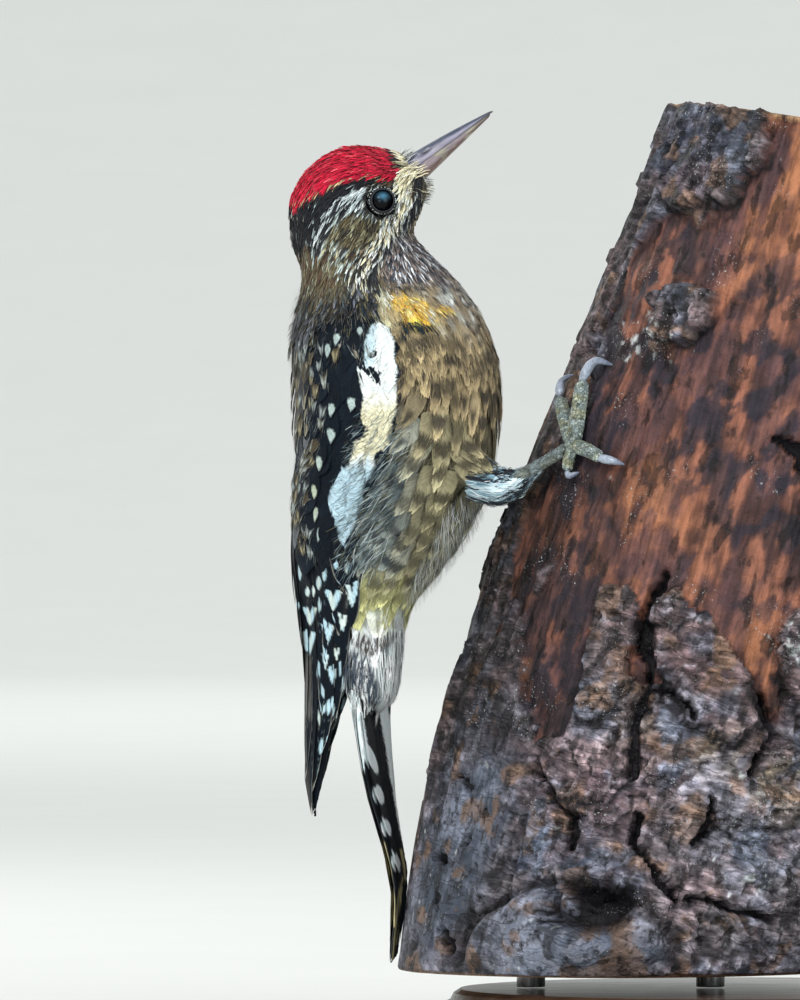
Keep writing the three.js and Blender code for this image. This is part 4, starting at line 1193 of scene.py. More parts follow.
def shoulder_colour(who, u, v, draw):
    side = np.abs(u)
    a, b, c = (row[who] for row in shoulder_chance)
    pale = mix((0.34, 0.31, 0.18), (0.4, 0.46, 0.44), b < 0.55)
    dark = mix((0.009, 0.012, 0.018), (0.07, 0.056, 0.032), (c < 0.28) * 0.9)
    dark = mix(dark, (0.1, 0.11, 0.12), (c > 0.85) * 0.9)
    drop = np.exp(-(((v - 0.83) / 0.1) ** 2) - ((side - 0.42) / 0.3) ** 2) * (a < 0.5)
    rim = ramp(side + 0.5 * ramp(v, 0.85, 1.0), 0.8, 1.0) * ramp(v, 0.45, 0.75) * 0.55 * (b < 0.5)
    tone = mix(dark, pale, held(np.maximum(drop, rim)))
    streak = np.exp(-((u / 0.25) ** 2)) * ramp(v, 0.4, 0.7) * (a > 0.86)
    tone = mix(tone, (0.4, 0.37, 0.26), streak * 0.7)
    tone = shoulder_patches(lay.points[who, 4], tone, c)
    return tone * (0.7 + 0.4 * v)[..., None] * (1 + 0.06 * draw.normal(size=v.shape))[..., None]


root_lift = -1.0 * MM * ramp(in_bird(roots)[2], 171, 177)
tip_lift = 1.15 * MM + 0.7 * root_lift + rng.normal(0, 0.12 * MM, count)
made = vanes(lay, 8, 12, root_lift, tip_lift, 22, 0.42, 0.03, shoulder_colour, 49)
add_piece("shoulder_coat", made, body_plumes, "body_feathers")
made = barbs(lay, 18, 3.0 * MM, 0.09 * MM, 1.25 * MM, 0.26, (0.42, 0.97),
             shoulder_colour, 50)
add_piece("shoulder_barbs", made, body_plumes, "body_feathers")


# Loose strands. They sweep back off the flanks over the edge of each wing, cross the shoulders, lie
# on the belly and stand off its underside as pale down.
def where_on_body(rule):
    """A rule on height, turn and a draw, for use on places."""
    return lambda points, draw: rule(in_bird(points)[2], wing_turn(points), draw)


over_flank = where_on_body(lambda up, turn, draw: ramp(turn, 54, 70) * ramp(-turn, -96, -84) * ramp(
    -up, -156, -136) * ramp(up, 108, 116) > 0.12 + 0.8 * draw)
over_shoulder = where_on_body(lambda up, turn, draw: ramp(up, 168, 172) * ramp(-up, -184, -178) * ramp(
    turn, 60, 84) > 0.3 + 0.7 * draw)
under_belly = where_on_body(lambda up, turn, draw: ramp(up, 102, 108) * ramp(-up, -132, -122) * ramp(
    -turn, -34, -16) > 0.1 + 0.6 * draw)


def beside_tail(points, draw):
    up, turn = in_bird(points)[2], wing_turn(points)
    return (up > 83) & (up < 96) & (off(wing_lie, points) > 0.8 * MM) & (turn < 122) & (draw < 0.8)


def on_patch(*patches):
    """Whether places lie in any of some soft spots of the side view."""
    def inside(points, draw):
        x, z = seen_from_right(points)
        return np.max([spot(x, z, *patch) for patch in patches], axis=0) > 0.35 + 0.35 * draw
    return inside


dark, slate, snow = (0.02, 0.026, 0.031), (0.115, 0.165, 0.185), (0.5, 0.58, 0.57)
olive, straw, soot, bright = (0.15, 0.14, 0.075), (0.44, 0.43, 0.3), (0.045, 0.036, 0.03), (0.92, 1.0, 1.0)
for name, spacing, wanted, length, width, off_tip, swing, tints, seed in (
        ("flank_strands", 0.5, over_flank, 6.0, 0.1, 0.3, 0.24,
         (dark, dark, slate, slate, slate, snow, olive), 51),
        ("shoulder_strands", 0.8, over_shoulder, 6.0, 0.13, 1.5, 0.22,
         (dark, dark, dark, soot, soot, olive, slate), 54),
        ("belly_down", 0.52, under_belly, 5.0, 0.09, 1.6, 0.34, (bright, snow, bright, straw, straw), 57),
        ("gold_tufts", 0.45,
         on_patch((-82.4, 176.2, 3.2, 1.7), (-79.0, 175.0, 2.6, 1.7), (-73.6, 174.8, 1.8, 1.3)),
         3.4, 0.34, 0.85, 0.16,
         ((0.8, 0.47, 0.07), (0.78, 0.52, 0.12), (0.82, 0.68, 0.32), (0.55, 0.34, 0.1)), 63),
        ("cream_tufts", 0.5, on_patch((-86.9, 177.4, 1.2, 2.2), (-76.6, 173.4, 1.0, 1.6)),
         3.6, 0.3, 0.9, 0.16, ((0.66, 0.68, 0.54), (0.5, 0.5, 0.36), (0.74, 0.8, 0.78)), 66),
        ("wedge_tufts", 0.42, on_patch((-81.0, 170.6, 2.2, 0.9), (-77.4, 169.9, 2.4, 1.1)),
         3.0, 0.38, 0.85, 0.14, ((0.01, 0.018, 0.024), (0.008, 0.023, 0.027), (0.02, 0.034, 0.032)), 69),
        ("mantle_tufts", 0.7,
         on_patch((-92.6, 176.0, 4.0, 3.4), (-100.0, 174.0, 5.0, 3.0), (-106.5, 170.0, 3.0, 4.5)),
         4.4, 0.55, 1.3, 0.22,
         ((0.012, 0.02, 0.03),) * 2 + ((0.16, 0.14, 0.08), (0.13, 0.14, 0.18), (0.05, 0.055, 0.05)), 75),
        ("tail_strands", 0.95, beside_tail, 12.0, 0.5, 0.25, 0.14, (bright,) * 12 + (slate,), 60)):
    roots = scatter(cover, spacing * MM, wanted, seed)
    rng = seeded(seed + 1)
    count = len(roots)
    lay = comb(roots, rng.uniform(0.6, 1.25, count) * length * MM, rng.normal(0, swing, count))
    uneven = 0.12 if name == "tail_strands" else 0.3
    hair_tone = np.array(tints)[rng.integers(0, len(tints), count)] * rng.lognormal(0, uneven, (count, 1))
    if name == "shoulder_strands":
        hair_tone = shoulder_patches(lay.points[:, 3], hair_tone, rng.random(count))
    over_wing = ramp(wing_turn(roots), 60, 76) * (name == "flank_strands")
    hair_tip = (off_tip + 0.9 * over_wing) * MM + np.abs(rng.normal(0, 0.3 * MM, count))
    lay.width = rng.uniform(0.6, 1.3, count) * width * MM

    def strand_colour(who, u, v, draw):
        tone = hair_tone[who] * (0.7 + 0.5 * v)[..., None]
        if name == "tail_strands":
            x, z = seen_from_right(lay.at(who, v, 0 * v, 0 * v))
            gap = path_gap(x, z, ((-94.4, 95.0), (-90.8, 89.6), (-85.6, 94.2)))
            tone = mix(tone, (0.06, 0.046, 0.044), 0.95 * ramp(-gap, -2.5, -1.5))
            shade = ramp(spot(x, z, -93.0, 82.5, 3.8, 7.2, -0.28), 0.2, 0.5)
            tone = mix(tone, (0.024, 0.04, 0.066), 0.95 * shade)
        return tone

    rows = 12 if name == "tail_strands" else 5
    made = vanes(lay, 1, rows, (0.9 * over_wing - 0.3) * MM, hair_tip, 0, 0.5, 0.0,
                 strand_colour, seed + 2)
    add_piece(name, made, body_plumes, "body_feathers")

# A sleeve of long soft feathers, white and blue black, clothes each thigh down to the heel. The lines
# run from the flank out to the shank, with a radius at each stop.
SLEEVES = (
    ("right", ((-70.0, -19.4, 132.0, 4.2), (-64.5, -20.4, 131.4, 4.5), (-59.0, -21.4, 130.9, 4.5),
               (-55.2, -22.8, 131.8, 3.3), (-52.2, -24.6, 133.8, 1.75), (-49.4, -26.3, 135.7, 1.3))),
    ("left", ((-67.5, 10.5, 132.2, 4.0), (-63.0, 11.8, 130.8, 4.2), (-58.6, 14.2, 130.2, 3.9),
              (-55.6, 17.4, 131.2, 2.8), (-53.2, 20.6, 132.3, 1.7), (-51.0, 23.4, 133.4, 1.3))))
SLEEVE_TONES = np.array([
    (0.014, 0.019, 0.028), (0.03, 0.05, 0.07), (0.16, 0.27, 0.33), (0.4, 0.55, 0.62), (0.68, 0.8, 0.84)])
even_stops = np.linspace(0, 1, 6)
for side_name, stops in SLEEVES:
    stops = np.array(stops) * MM
    fine = np.linspace(0, 1, 60)
    line = np.stack([np.interp(fine, even_stops, stops[:, k]) for k in range(3)], 1)
    for step in range(6):
        line[1:-1] = (line[:-2] + line[1:-1] + line[2:]) / 3
    reach = np.linalg.norm(np.diff(line, axis=0), axis=1).sum()
    forward = unit(np.gradient(line, axis=0))
    aside = unit(np.cross(forward, (0, 1, 0)))
    third = np.cross(forward, aside)
    for name, count, low_long, high_long, wide, stand in (
            (f"leg_sleeve_{side_name}", 520, 5.0, 7.5, 1.5, 0.0),
            (f"leg_hair_{side_name}", 620, 3.0, 6.0, 0.16, 0.45)):
        rng = seeded(64 + count + len(side_name))
        first = rng.uniform(0.1, 0.78, count)
        turn = rng.uniform(0, 2 * np.pi, count)
        length = rng.uniform(low_long, high_long, count) * MM
        shares = held(first[:, None] + even_stops * length[:, None] / reach)
        turns = turn[:, None] + rng.normal(0, 0.16, (count, 1)) * even_stops
        centre, ahead, beyond = (np.stack([np.interp(shares, fine, part[:, k]) for k in range(3)], -1)
                                 for part in (line, aside, third))
        outward = np.cos(turns)[..., None] * ahead + np.sin(turns)[..., None] * beyond
        radius = np.interp(shares, even_stops, stops[:, 3])
        lay = Lay(centre + outward * radius[..., None], outward, length)
        narrowed = curve(first, (0, 1), (0.5, 0.9), (0.78, 0.5))
        lay.width = rng.uniform(0.7, 1.2, count) * wide * MM * narrowed
        pale = 0.5 + 0.5 * np.sin(3.0 * turn + 5.0 * first + 1.0) + rng.normal(0, 0.3, count)
        sleeve_tone = SLEEVE_TONES[np.clip((pale * 5).astype(int), 0, 4)]
        sleeve_tone = sleeve_tone * rng.lognormal(0, 0.15, (count, 1))
        made = vanes(lay, 2 if wide > 1 else 1, 6, -0.7 * MM,
                     (stand + rng.normal(0.05, 0.12, count)) * MM, 24, 0.5, 0.05,
                     lambda who, u, v, draw: sleeve_tone[who] * (0.75 + 0.4 * v)[..., None], 66 + count)
        add_piece(name, made, body_plumes, "body_feathers")

# ---- Wings ----
# Folded wings: a black shield of small coverts, a white bar of broad ones down the front, pale drops
# on single ones, and long black flight feathers with paired white spots. Each feather is a stiff vane.
WING_STEPS = 9
WING_BLACK = (0.003, 0.0062, 0.011)


def cast(form, origin, inward, missed):
    """Lines cast inwards on a form. Those that miss take the nearest place to another set."""
    points, normals = np.empty(origin.shape), np.empty(origin.shape)
    for i in np.ndindex(origin.shape[:-1]):
        hit, normal = form.ray_cast(origin[i].tolist(), inward[i].tolist())[:2]
        if hit is None:
            hit, normal = form.find_nearest(missed[i].tolist())[:2]
        points[i], normals[i] = hit, normal
    return Lay(points, normals, np.linalg.norm(np.diff(points, axis=1), axis=2).sum(1))


def wing_lines(side, shares, heights):
    """Lines over a wing, from each step's share of the way back and height."""
    tuck = 34 * ramp(-heights, -108, -80) if side > 0 else 0 * heights
    first = fan(heights, 2) + tuck
    turn = np.radians(first + np.clip(shares, 0, 0.99) * (fan(heights, 3) - first))
    centre = fan(heights, 1)
    belly, left = np.cos(turn), side * np.sin(turn)
    origin = from_bird(centre + 40 * belly, 40 * left, heights)
    inward = unit(from_bird(centre, 0 * left, heights) - origin)
    return cast(wing_lie, origin, inward, origin + 0.037 * inward)


def between(first, last, steps=WING_STEPS):
    """Rows of values running from first to last."""
    t = np.linspace(0, 1, steps)
    return np.asarray(first)[:, None] * (1 - t) + np.asarray(last)[:, None] * t


def oval(u, v, at_u, at_v, wide, tall, lean=0.0):
    """1 inside a soft edged oval on a vane."""
    across = (u - at_u - lean * (v - at_v)) / wide
    return ramp(1.15 - across ** 2 - ((v - at_v) / tall) ** 2, 0, 0.35)


def big_vanes(lay, columns, rows, root, tip, outline, colour_at, seed):
    """Stiff feathers, each with its own bake cell. The outline is half widths along."""
    draw = seeded(seed)
    count = len(lay.roots)
    who, u, v, faces = sheets(np.arange(count), columns, rows)
    swept = v - 0.5 * lay.width[who] / lay.lengths[who] * np.abs(u) ** 1.7 * ramp(v, 0.3, 1)
    swept = swept + 0.15 * MM / lay.lengths[who] * draw.normal(size=who.shape) * ramp(v, 0.8, 1)
    half = lay.width[:, None] / 2 * outline(v)
    root, tip = ((value + 0 * lay.lengths)[:, None] for value in (root, tip))
    lift = root * (1 - v) + tip * v + 0.1 * (1 - u * u) * half
    places = lay.at(who, swept, u * half, lift)
    per_side = math.ceil(math.sqrt(count))
    corner = np.stack([np.arange(count) % per_side, np.arange(count) // per_side], 1)[:, None]
    patches = (corner + 0.06 + 0.88 * np.stack([u * 0.5 + 0.5, v], -1)) / per_side
    return coat_mesh(places, faces, colour_at(who, u, v, draw), np.stack([u, v], -1), patches)


def leaf(v):
    """Half widths of a full feather with a round tip."""
    rounded = np.sqrt(held(1 - held((v - 0.72) / 0.3) ** 2.4))
    return held(0.35 + 1.1 * v) * rounded


def point_leaf(v):
    """The same with a drawn out point."""
    return held(0.85 + 0.5 * v) * held((1.012 - v) / 0.34) ** 0.72


flight_plumes = plumage("flight_feather", 0.5, 0.02, 60.0, 0.09)
covert_plumes = plumage("wing_covert", 0.58, 0.03, 24.0, 0.09)
# Height and share of the way back of each flight feather's tip, from the front edge to the back.
FLIGHT_TIPS = ((103, 0.03), (93, 0.06), (82, 0.1), (71, 0.13), (64, 0.26), (56, 0.4), (49.6, 0.58),
               (59, 0.74), (70, 0.82), (81, 0.86), (92, 0.88), (102, 0.9))
# Their white marks in the side view: middle, half width and half height. Broad ones are notched above.
FLIGHT_MARKS = (
    (-98.7, 112.2, 1.4, 2.5), (-96.2, 112.4, 0.7, 2.8), (-101.7, 109.7, 0.55, 2.1),
    (-103.1, 107.3, 0.6, 1.7), (-107.6, 110.9, 0.5, 3.0), (-105.8, 105.1, 0.6, 1.2),
    (-104.4, 105.3, 0.5, 1.2), (-99.5, 103.3, 2.3, 2.5), (-94.8, 104.1, 1.9, 3.1),
    (-108.0, 100.6, 0.8, 1.7), (-105.1, 99.4, 1.8, 2.3), (-102.9, 101.9, 0.35, 1.9),
    (-97.3, 97.5, 1.2, 2.5), (-100.9, 94.8, 1.7, 2.5), (-105.3, 92.6, 1.7, 3.1), (-98.7, 90.1, 0.9, 1.5),
    (-101.4, 87.9, 1.0, 1.9), (-99.7, 84.0, 1.1, 2.5), (-97.8, 85.5, 0.3, 2.6), (-103.1, 84.7, 0.4, 1.9),
    (-102.2, 79.8, 0.4, 1.7), (-101.7, 75.7, 0.4, 1.9), (-100.6, 75.9, 0.45, 2.4), (-99.7, 75.7, 0.4, 2.1),
    (-102.9, 74.2, 0.3, 1.9), (-102.4, 65.4, 0.5, 2.4), (-101.1, 65.9, 0.35, 1.7), (-97.3, 80.3, 0.3, 2.3))
# The white bar in the side view: height, then its back and front edge.
BAR = np.array((
    (116, -96.9, -96.7), (119, -98.0, -95.4), (121.5, -98.6, -94.6), (123.9, -99.3, -93.5),
    (127.1, -100.2, -92.8), (130.1, -99.6, -92.5), (133.7, -98.1, -90.4), (136.2, -95.3, -89.9),
    (138.4, -94.8, -89.6), (139.9, -94.4, -86.4), (142.0, -93.9, -86.1), (142.6, -90.9, -86.0),
    (144.8, -91.9, -85.6), (148.4, -92.8, -84.7), (152.1, -91.7, -84.4), (155.5, -92.7, -84.3),
    (159.4, -93.6, -84.3), (160.2, -91.6, -84.5), (165.6, -91.7, -85.0), (169.3, -90.5, -85.9),
    (171.5, -88.0, -86.4)))
# Pale drops on single coverts: turn from the belly, height and size.
DROPS = ((101, 167, 1.1), (107, 164, 0.9), (87, 169.5, 0.8), (104.5, 149.6, 1.2), (93, 151, 1.35),
         (105, 143.6, 1.25), (112, 136.8, 1.2), (116, 130, 0.9), (110, 119.5, 0.8), (114, 124.5, 0.8))


def flight_white(x, z):
    """How white the side view is over the flight feathers."""
    white = 0 * x
    for at_x, at_z, wide, tall in FLIGHT_MARKS:
        down = (at_z + tall - z) / (2 * tall)
        aside = np.abs(x - at_x)
        if wide < 0.75:
            half = wide * np.sin(np.pi * held(down)) ** 0.6
            notch = 0
        else:
            half = wide * held(1.06 - down) ** 0.75 * ramp(down, -0.02, 0.14)
            notch = ramp(0.34 * wide * (1 - down / 0.42) - aside, -0.05, 0.12)
        white = np.maximum(white, ramp(half - aside, -0.05, 0.14) * (half > 0) * (1 - notch))
    return white


def bar_white(x, z):
    """1 inside the white bar."""
    heights, rear, front_edge = BAR.T
    inside = np.minimum(x - np.interp(z, heights, rear), np.interp(z, heights, front_edge) - x)
    slope = (x + 93.4) / 5.2
    notch = (x < -88.1) & (z < 160.7 - 2.4 * slope) & (z > 159.4 - 4.2 * slope)
    notch = notch | (np.hypot((x + 89.5) / 0.7, (z - 162.6) / 1.2) < 1)
    return np.where(notch, 0, ramp(inside, -0.1, 0.18)) * (z > 116) * (z < 171.5)


def bar_tone(x, z, behind):
    """The white bar over a tone: white above, then cream, and blue grey at its foot, with painted shade in
    blue grey at its back edge near the top.
    """
    tone = mix((0.74, 0.8, 0.79), (0.66, 0.63, 0.44), ramp(-z, -154, -148) * ramp(z, 136, 139))
    # Blue grey at the foot is the bar's own colour; the blue grey at its back edge near the top is painted
    # shade.
    blue = np.maximum(ramp(-z, -137.5, -134), 0.8 * ramp(-x, 88.8, 89.8) * ramp(z, 158, 161))
    tone = mix(tone, (0.42, 0.58, 0.66), blue)
    return mix(behind, tone, bar_white(x, z))


def beside(lay, who, u, v):
    """Where a vane's corners are in the side view."""
    return seen_from_right(lay.at(who, v, u * lay.width[who] / 2 * leaf(v), 0 * v))


def share_of(turn, heights):
    """The share of the way back on a wing that a turn is at."""
    return (turn - fan(heights, 2)) / (fan(heights, 3) - fan(heights, 2))


core_at = numbers(wings_even.vertices, "co", 3)
paint(wings_even, bar_tone(*seen_from_right(core_at), WING_BLACK))
lift_off(wings_even, np.full(len(core_at), -0.45 * MM))
add_piece("wing_cores", wings_even, covert_plumes, "wing_feathers", *WINGS)


def add_layer(name, finish, *shape):
    """Grows one of a wing's layers of feathers."""
    add_piece(f"{name}_{side_name}", big_vanes(lay, *shape), finish, "wing_feathers")


for side_name, side in (("right", -1), ("left", 1)):
    rng = seeded(60 + side)
    tips = np.array(FLIGHT_TIPS)
    count = len(tips)
    root_share = np.linspace(0.1, 0.93, count)
    heights = between(np.linspace(126, 122, count), tips[:, 0])
    t = np.linspace(0, 1, WING_STEPS) ** 1.3
    shares = root_share[:, None] * (1 - t) + tips[:, 1][:, None] * t
    lay = wing_lines(side, shares, heights)
    lay.width = curve(tips[:, 0], (49, 5.6), (70, 6.6), (100, 7.6)) * MM

    def flight_colour(who, u, v, draw):
        x, z = beside(lay, who, u, v)
        from_tip = (1 - v) * lay.lengths[who] / MM
        side = np.abs(u)
        brown = ramp(-side, -0.2, 0.0) * 0.3 + 0.6 * ramp(-z, -66, -54) * ramp(-side, -0.6, -0.1)
        tone = mix(WING_BLACK, (0.05, 0.04, 0.033), brown)
        grey = ramp(0.7 - np.abs(x + 105.3), 0, 0.3) * ramp(z, 71, 74) * ramp(-z, -91, -87)
        tone = mix(tone, (0.16, 0.155, 0.145), 0.55 * grey)
        tip_front = ramp(x, -103.6, -102.9) * ramp(-z, -61, -58)
        tone = mix(tone, (0.36, 0.48, 0.47), 0.8 * tip_front)
        white = mix((0.6, 0.7, 0.66), (0.42, 0.6, 0.68), ramp(side, 0.1, 0.7))
        tone = mix(tone, white, flight_white(x, z))
        fringe = ramp(side, 0.9, 0.99) * ramp(-from_tip, -16, -3) * 0.5
        fringe = fringe + 0.8 * ramp(-from_tip, -2.2, -0.6)
        return mix(tone, (0.5, 0.5, 0.45), fringe)

    add_layer("flight_feathers", flight_plumes, 16, 130, -0.2 * MM,
              (0.25 + 0.09 * np.arange(count) - 0.2) * MM, leaf, flight_colour, 61)

    # Small black coverts over the upper wing, in overlapping rows.
    rows = []
    for row, height in enumerate(np.arange(178.0, 122.0, -4.3)):
        end = float(share_of(119, min(height, 173)))
        rows += [(a, height) for a in np.arange(0.06 * (row % 2), end, 0.125)]
    count = len(rows)
    seats, seat_heights = (np.array(rows) + rng.normal(0, (0.01, 0.4), (count, 2))).T
    heights = between(np.clip(seat_heights, 0, 173), seat_heights - rng.uniform(11.5, 13.0, count))
    drift = 0.04 + 0.08 * ramp(-seat_heights, -150, -125)
    shares = between(seats, np.clip(seats + drift, 0, 0.99))
    lay = wing_lines(side, shares, heights)
    lay.width = rng.uniform(6.6, 7.6, count) * MM
    tints = rng.random(count)

    def covert_colour(who, u, v, draw):
        edge = ramp(np.abs(u) + ramp(v, 0.8, 1), 0.85, 1.15)
        base = mix(WING_BLACK, (0.0045, 0.0095, 0.0165), tints[who])
        return bar_tone(*beside(lay, who, u, v), mix(base, (0.008, 0.014, 0.022), edge * 0.6))

    add_layer("coverts", covert_plumes, 8, 14, 0.25 * MM,
              0.6 * MM + 0.05 * MM * rng.normal(size=count), leaf, covert_colour, 62)

    # Broad coverts that are white across the bar, with torn black edges.
    rows = []
    for row, height in enumerate(np.arange(177.0, 120.0, -3.4)):
        middle = curve(height - 8, (116, 103), (127, 100), (136, 94), (142, 84), (155, 78), (170, 76))
        rows += [(middle + k, height) for k in ((-7.5, 0.0, 7.5) if row % 2 else (-4.0, 4.0))]
    count = len(rows)
    seats, seat_heights = (np.array(rows) + rng.normal(0, (0.7, 0.4), (count, 2))).T
    heights = between(np.clip(seat_heights, 0, 173), seat_heights - rng.uniform(10.5, 12, count))
    shares = share_of(between(seats - 1, seats + 3), heights)
    lay = wing_lines(side, shares, heights)
    lay.width = rng.uniform(5.2, 6.4, count) * MM

    def bar_colour(who, u, v, draw):
        x, z = beside(lay, who, u, v)
        tone = bar_tone(x + 0.12 * draw.normal(size=x.shape), z, WING_BLACK)
        return tone * (1 - 0.15 * np.exp(-((u / 0.05) ** 2)) - 0.12 * ramp(np.abs(u), 0.9, 1))[..., None]

    add_layer("white_bar", covert_plumes, 16, 26, 0.55 * MM,
              0.95 * MM + 0.05 * MM * rng.normal(size=count), leaf, bar_colour, 63)

    # Single coverts that end in a pale drop.
    drop_turns, drop_heights, drop_sizes = np.array(DROPS).T
    heights = between(np.clip(drop_heights + 7.5, 0, 173), drop_heights - 2.6)
    shares = share_of(between(drop_turns - 2, drop_turns + 1), heights)
    lay = wing_lines(side, shares, heights)
    lay.width = 3.6 * MM * drop_sizes

    def drop_colour(who, u, v, draw):
        pale = mix((0.4, 0.5, 0.48), (0.44, 0.5, 0.38), ramp(drop_turns[who], 110, 116))
        return mix(WING_BLACK, pale, 0.9 * oval(u, v, 0.0, 0.76, 0.46, 0.155, 0.5))

    add_layer("drop_coverts", covert_plumes, 10, 22, 0.7 * MM, 1.25 * MM, leaf, drop_colour, 64)

# ---- Tail ----
# Stiff pointed tail feathers in two layers, the outer ones lowest. Seen from below they are black
# with white ovals down the inner webs and white along the outer edges; the tips are worn and pale.
TAIL_HALF = ((12, 1.2), (18, 2.6), (26.4, 4.3), (34.5, 5.2), (44.3, 6.0), (54.8, 8.0), (65.6, 9.2),
             (75.5, 9.9), (90, 8.5))
TAIL_TIPS = (14.2, 19, 26, 35, 47)


def tail_lines(face, shares, heights):
    """Lines over the tail's under face (1) or upper face (-1), from shares across and heights."""
    left = shares * curve(heights, *TAIL_HALF)
    origin = from_bird(face * 40 + 0 * left, left, heights)
    inward = unit(from_bird(0 * left, left, heights) - origin)
    middle = curve(heights, (14, 0.3), (30, 2.2), (45, -0.2), (84, -5.8))
    return cast(tail_lie, origin, inward, from_bird(middle, left, heights))


# White and pale stripes along the tail in the side view: height, across and half width.
TAIL_STRIPES = (
    ((90, -96.2, 2.0), (81.1, -95.6, 1.8), (78.6, -95.0, 1.7), (73.7, -93.9, 1.5), (71.2, -93.4, 1.3),
     (66.4, -92.6, 1.3), (62.7, -92.9, 0.6), (60.2, -92.6, 0.2)),
    ((90, -88.4, 2.6), (84, -88.0, 1.8), (76.2, -87.5, 1.1), (71.3, -86.7, 1.1), (66.4, -86.2, 0.9),
     (59, -85.4, 0.75), (54.1, -84.5, 0.65), (49.2, -83.9, 0.45), (43, -82.8, 0.2)))
WORN_STRIPES = (
    ((44, -87.4, 0.2), (36.9, -86.0, 0.35), (29.6, -85.1, 0.35), (23, -85.0, 0.15)),
    ((42, -83.4, 0.25), (36.9, -82.4, 0.3), (33, -82.2, 0.1)),
    ((34.5, -82.9, 0.25), (26, -83.8, 0.3), (18.6, -84.6, 0.35), (13.5, -85.0, 0.2)))
# Its white ovals: middle, half width, half height and lean.
TAIL_OVALS = ((-93.6, 75.0, 0.9, 1.7, 0), (-90.5, 64.1, 1.15, 3.7, -0.36), (-88.6, 55.3, 1.1, 2.4, -0.22),
              (-86.7, 47.2, 1.0, 2.0, -0.2), (-84.3, 38.7, 0.85, 2.1, -0.2))


def striped(x, z, stripes):
    """1 inside any of the stripes."""
    found = 0 * x
    for stripe in stripes:
        heights, middles, halves = np.array(stripe[::-1]).T
        middle, half = np.interp(z, heights, middles), np.interp(z, heights, halves)
        inside = ramp(half - np.abs(x - middle), -0.12, 0.15) * (z > heights[0]) * (z < heights[-1])
        found = np.maximum(found, inside)
    return found


def tail_colour_at(x, z, frayed):
    """The tail's colours in the side view."""
    white = striped(x + 0.25 * frayed, z + 0.8 * frayed, TAIL_STRIPES)
    for at_x, at_z, wide, tall, lean in TAIL_OVALS:
        across = (x - at_x - lean * (z - at_z)) / wide
        white = np.maximum(white, ramp(1.1 - across ** 2 - ((z - at_z) / tall) ** 2, 0, 0.3))
    # A painted blue sheen on the black, low at the front edge.
    tone = mix((0.0035, 0.006, 0.01), (0.035, 0.055, 0.075), ramp(x, -83.6, -82.2) * ramp(-z, -34, -26))
    tone = mix(tone, mix((0.84, 0.98, 1.0), (1, 1, 1), ramp(frayed, -0.3, 0.4)), white)
    return mix(tone, (0.52, 0.46, 0.24), 0.85 * striped(x, z, WORN_STRIPES))


# The inner feathers of the tail fill its thickness.
core_at = numbers(tail_even.vertices, "co", 3)
frayed = rough(core_at / MM, (1.2, 1.2, 7), 3, 9.0)
paint(tail_even, tail_colour_at(core_at[:, 0] / MM, core_at[:, 2] / MM, frayed))
lift_off(tail_even, np.full(len(core_at), -0.3 * MM))
add_piece("tail_core", tail_even, covert_plumes, "tail_feathers", "tail")

for face_name, face in (("under", 1), ("upper", -1)):
    ranks = np.repeat(np.arange(5), 2)
    order = ranks if face > 0 else 4 - ranks
    across = (ranks + 0.5) / 5 * np.tile((-1.0, 1.0), 5)
    heights = between(np.full(10, 83.0), np.array(TAIL_TIPS)[ranks])
    shares = between(across * 0.98, across * 0.74)
    lay = tail_lines(face, np.clip(shares, -0.97, 0.97), heights)
    lay.width = np.array([5.4, 5.2, 4.8, 4.4, 4.0])[ranks] * MM

    def tail_colour(who, u, v, draw):
        at = lay.at(who, v, u * lay.width[who] / 2 * point_leaf(v), 0 * v) / MM
        return tail_colour_at(at[..., 0], at[..., 2], draw.normal(0, 0.25, v.shape))

    stack = order * 0.1 * MM
    made = big_vanes(lay, 12, 96, stack * 0.6 - 0.1 * MM, stack, point_leaf,
                     tail_colour, 71)
    add_piece(f"tail_{face_name}", made, flight_plumes, "tail_feathers")

# ---- Bill ----
# A straight chisel bill of horn in two halves that meet along the mouth line, with an open nostril
# slit on each side near its root.
BILL_BASE = np.array((-78.2, 2.0, 209.9)) * MM
BILL_PITCH = math.radians(36.3)
BILL_COS, BILL_SIN = math.cos(BILL_PITCH), math.sin(BILL_PITCH)
BILL_LENGTH = 22.0
BILL_ROOT = 4.6


def tube(around, along, place_at):
    """A closed form from a rolled up grid: place_at(turn, share)."""
    form = bmesh.new()
    bmesh.ops.create_grid(form, x_segments=around, y_segments=along, size=1)
    for v in form.verts:
        v.co = place_at((v.co.x + 1) * math.pi, (v.co.y + 1) / 2)
    bmesh.ops.remove_doubles(form, verts=form.verts, dist=1e-7)
    bmesh.ops.recalc_face_normals(form, faces=form.faces)
    return form


def bill_place(run, side, up):
    """A place on the bill, from the face and the mouth line."""
    ahead, rise = run * BILL_COS - up * BILL_SIN, run * BILL_SIN + up * BILL_COS
    return BILL_BASE + np.array((ahead, side, rise)) * MM


def shoulder(distance, depth):
    short = 1 - min(1, max(0, distance) / depth)
    return math.sqrt(1 - short * short)


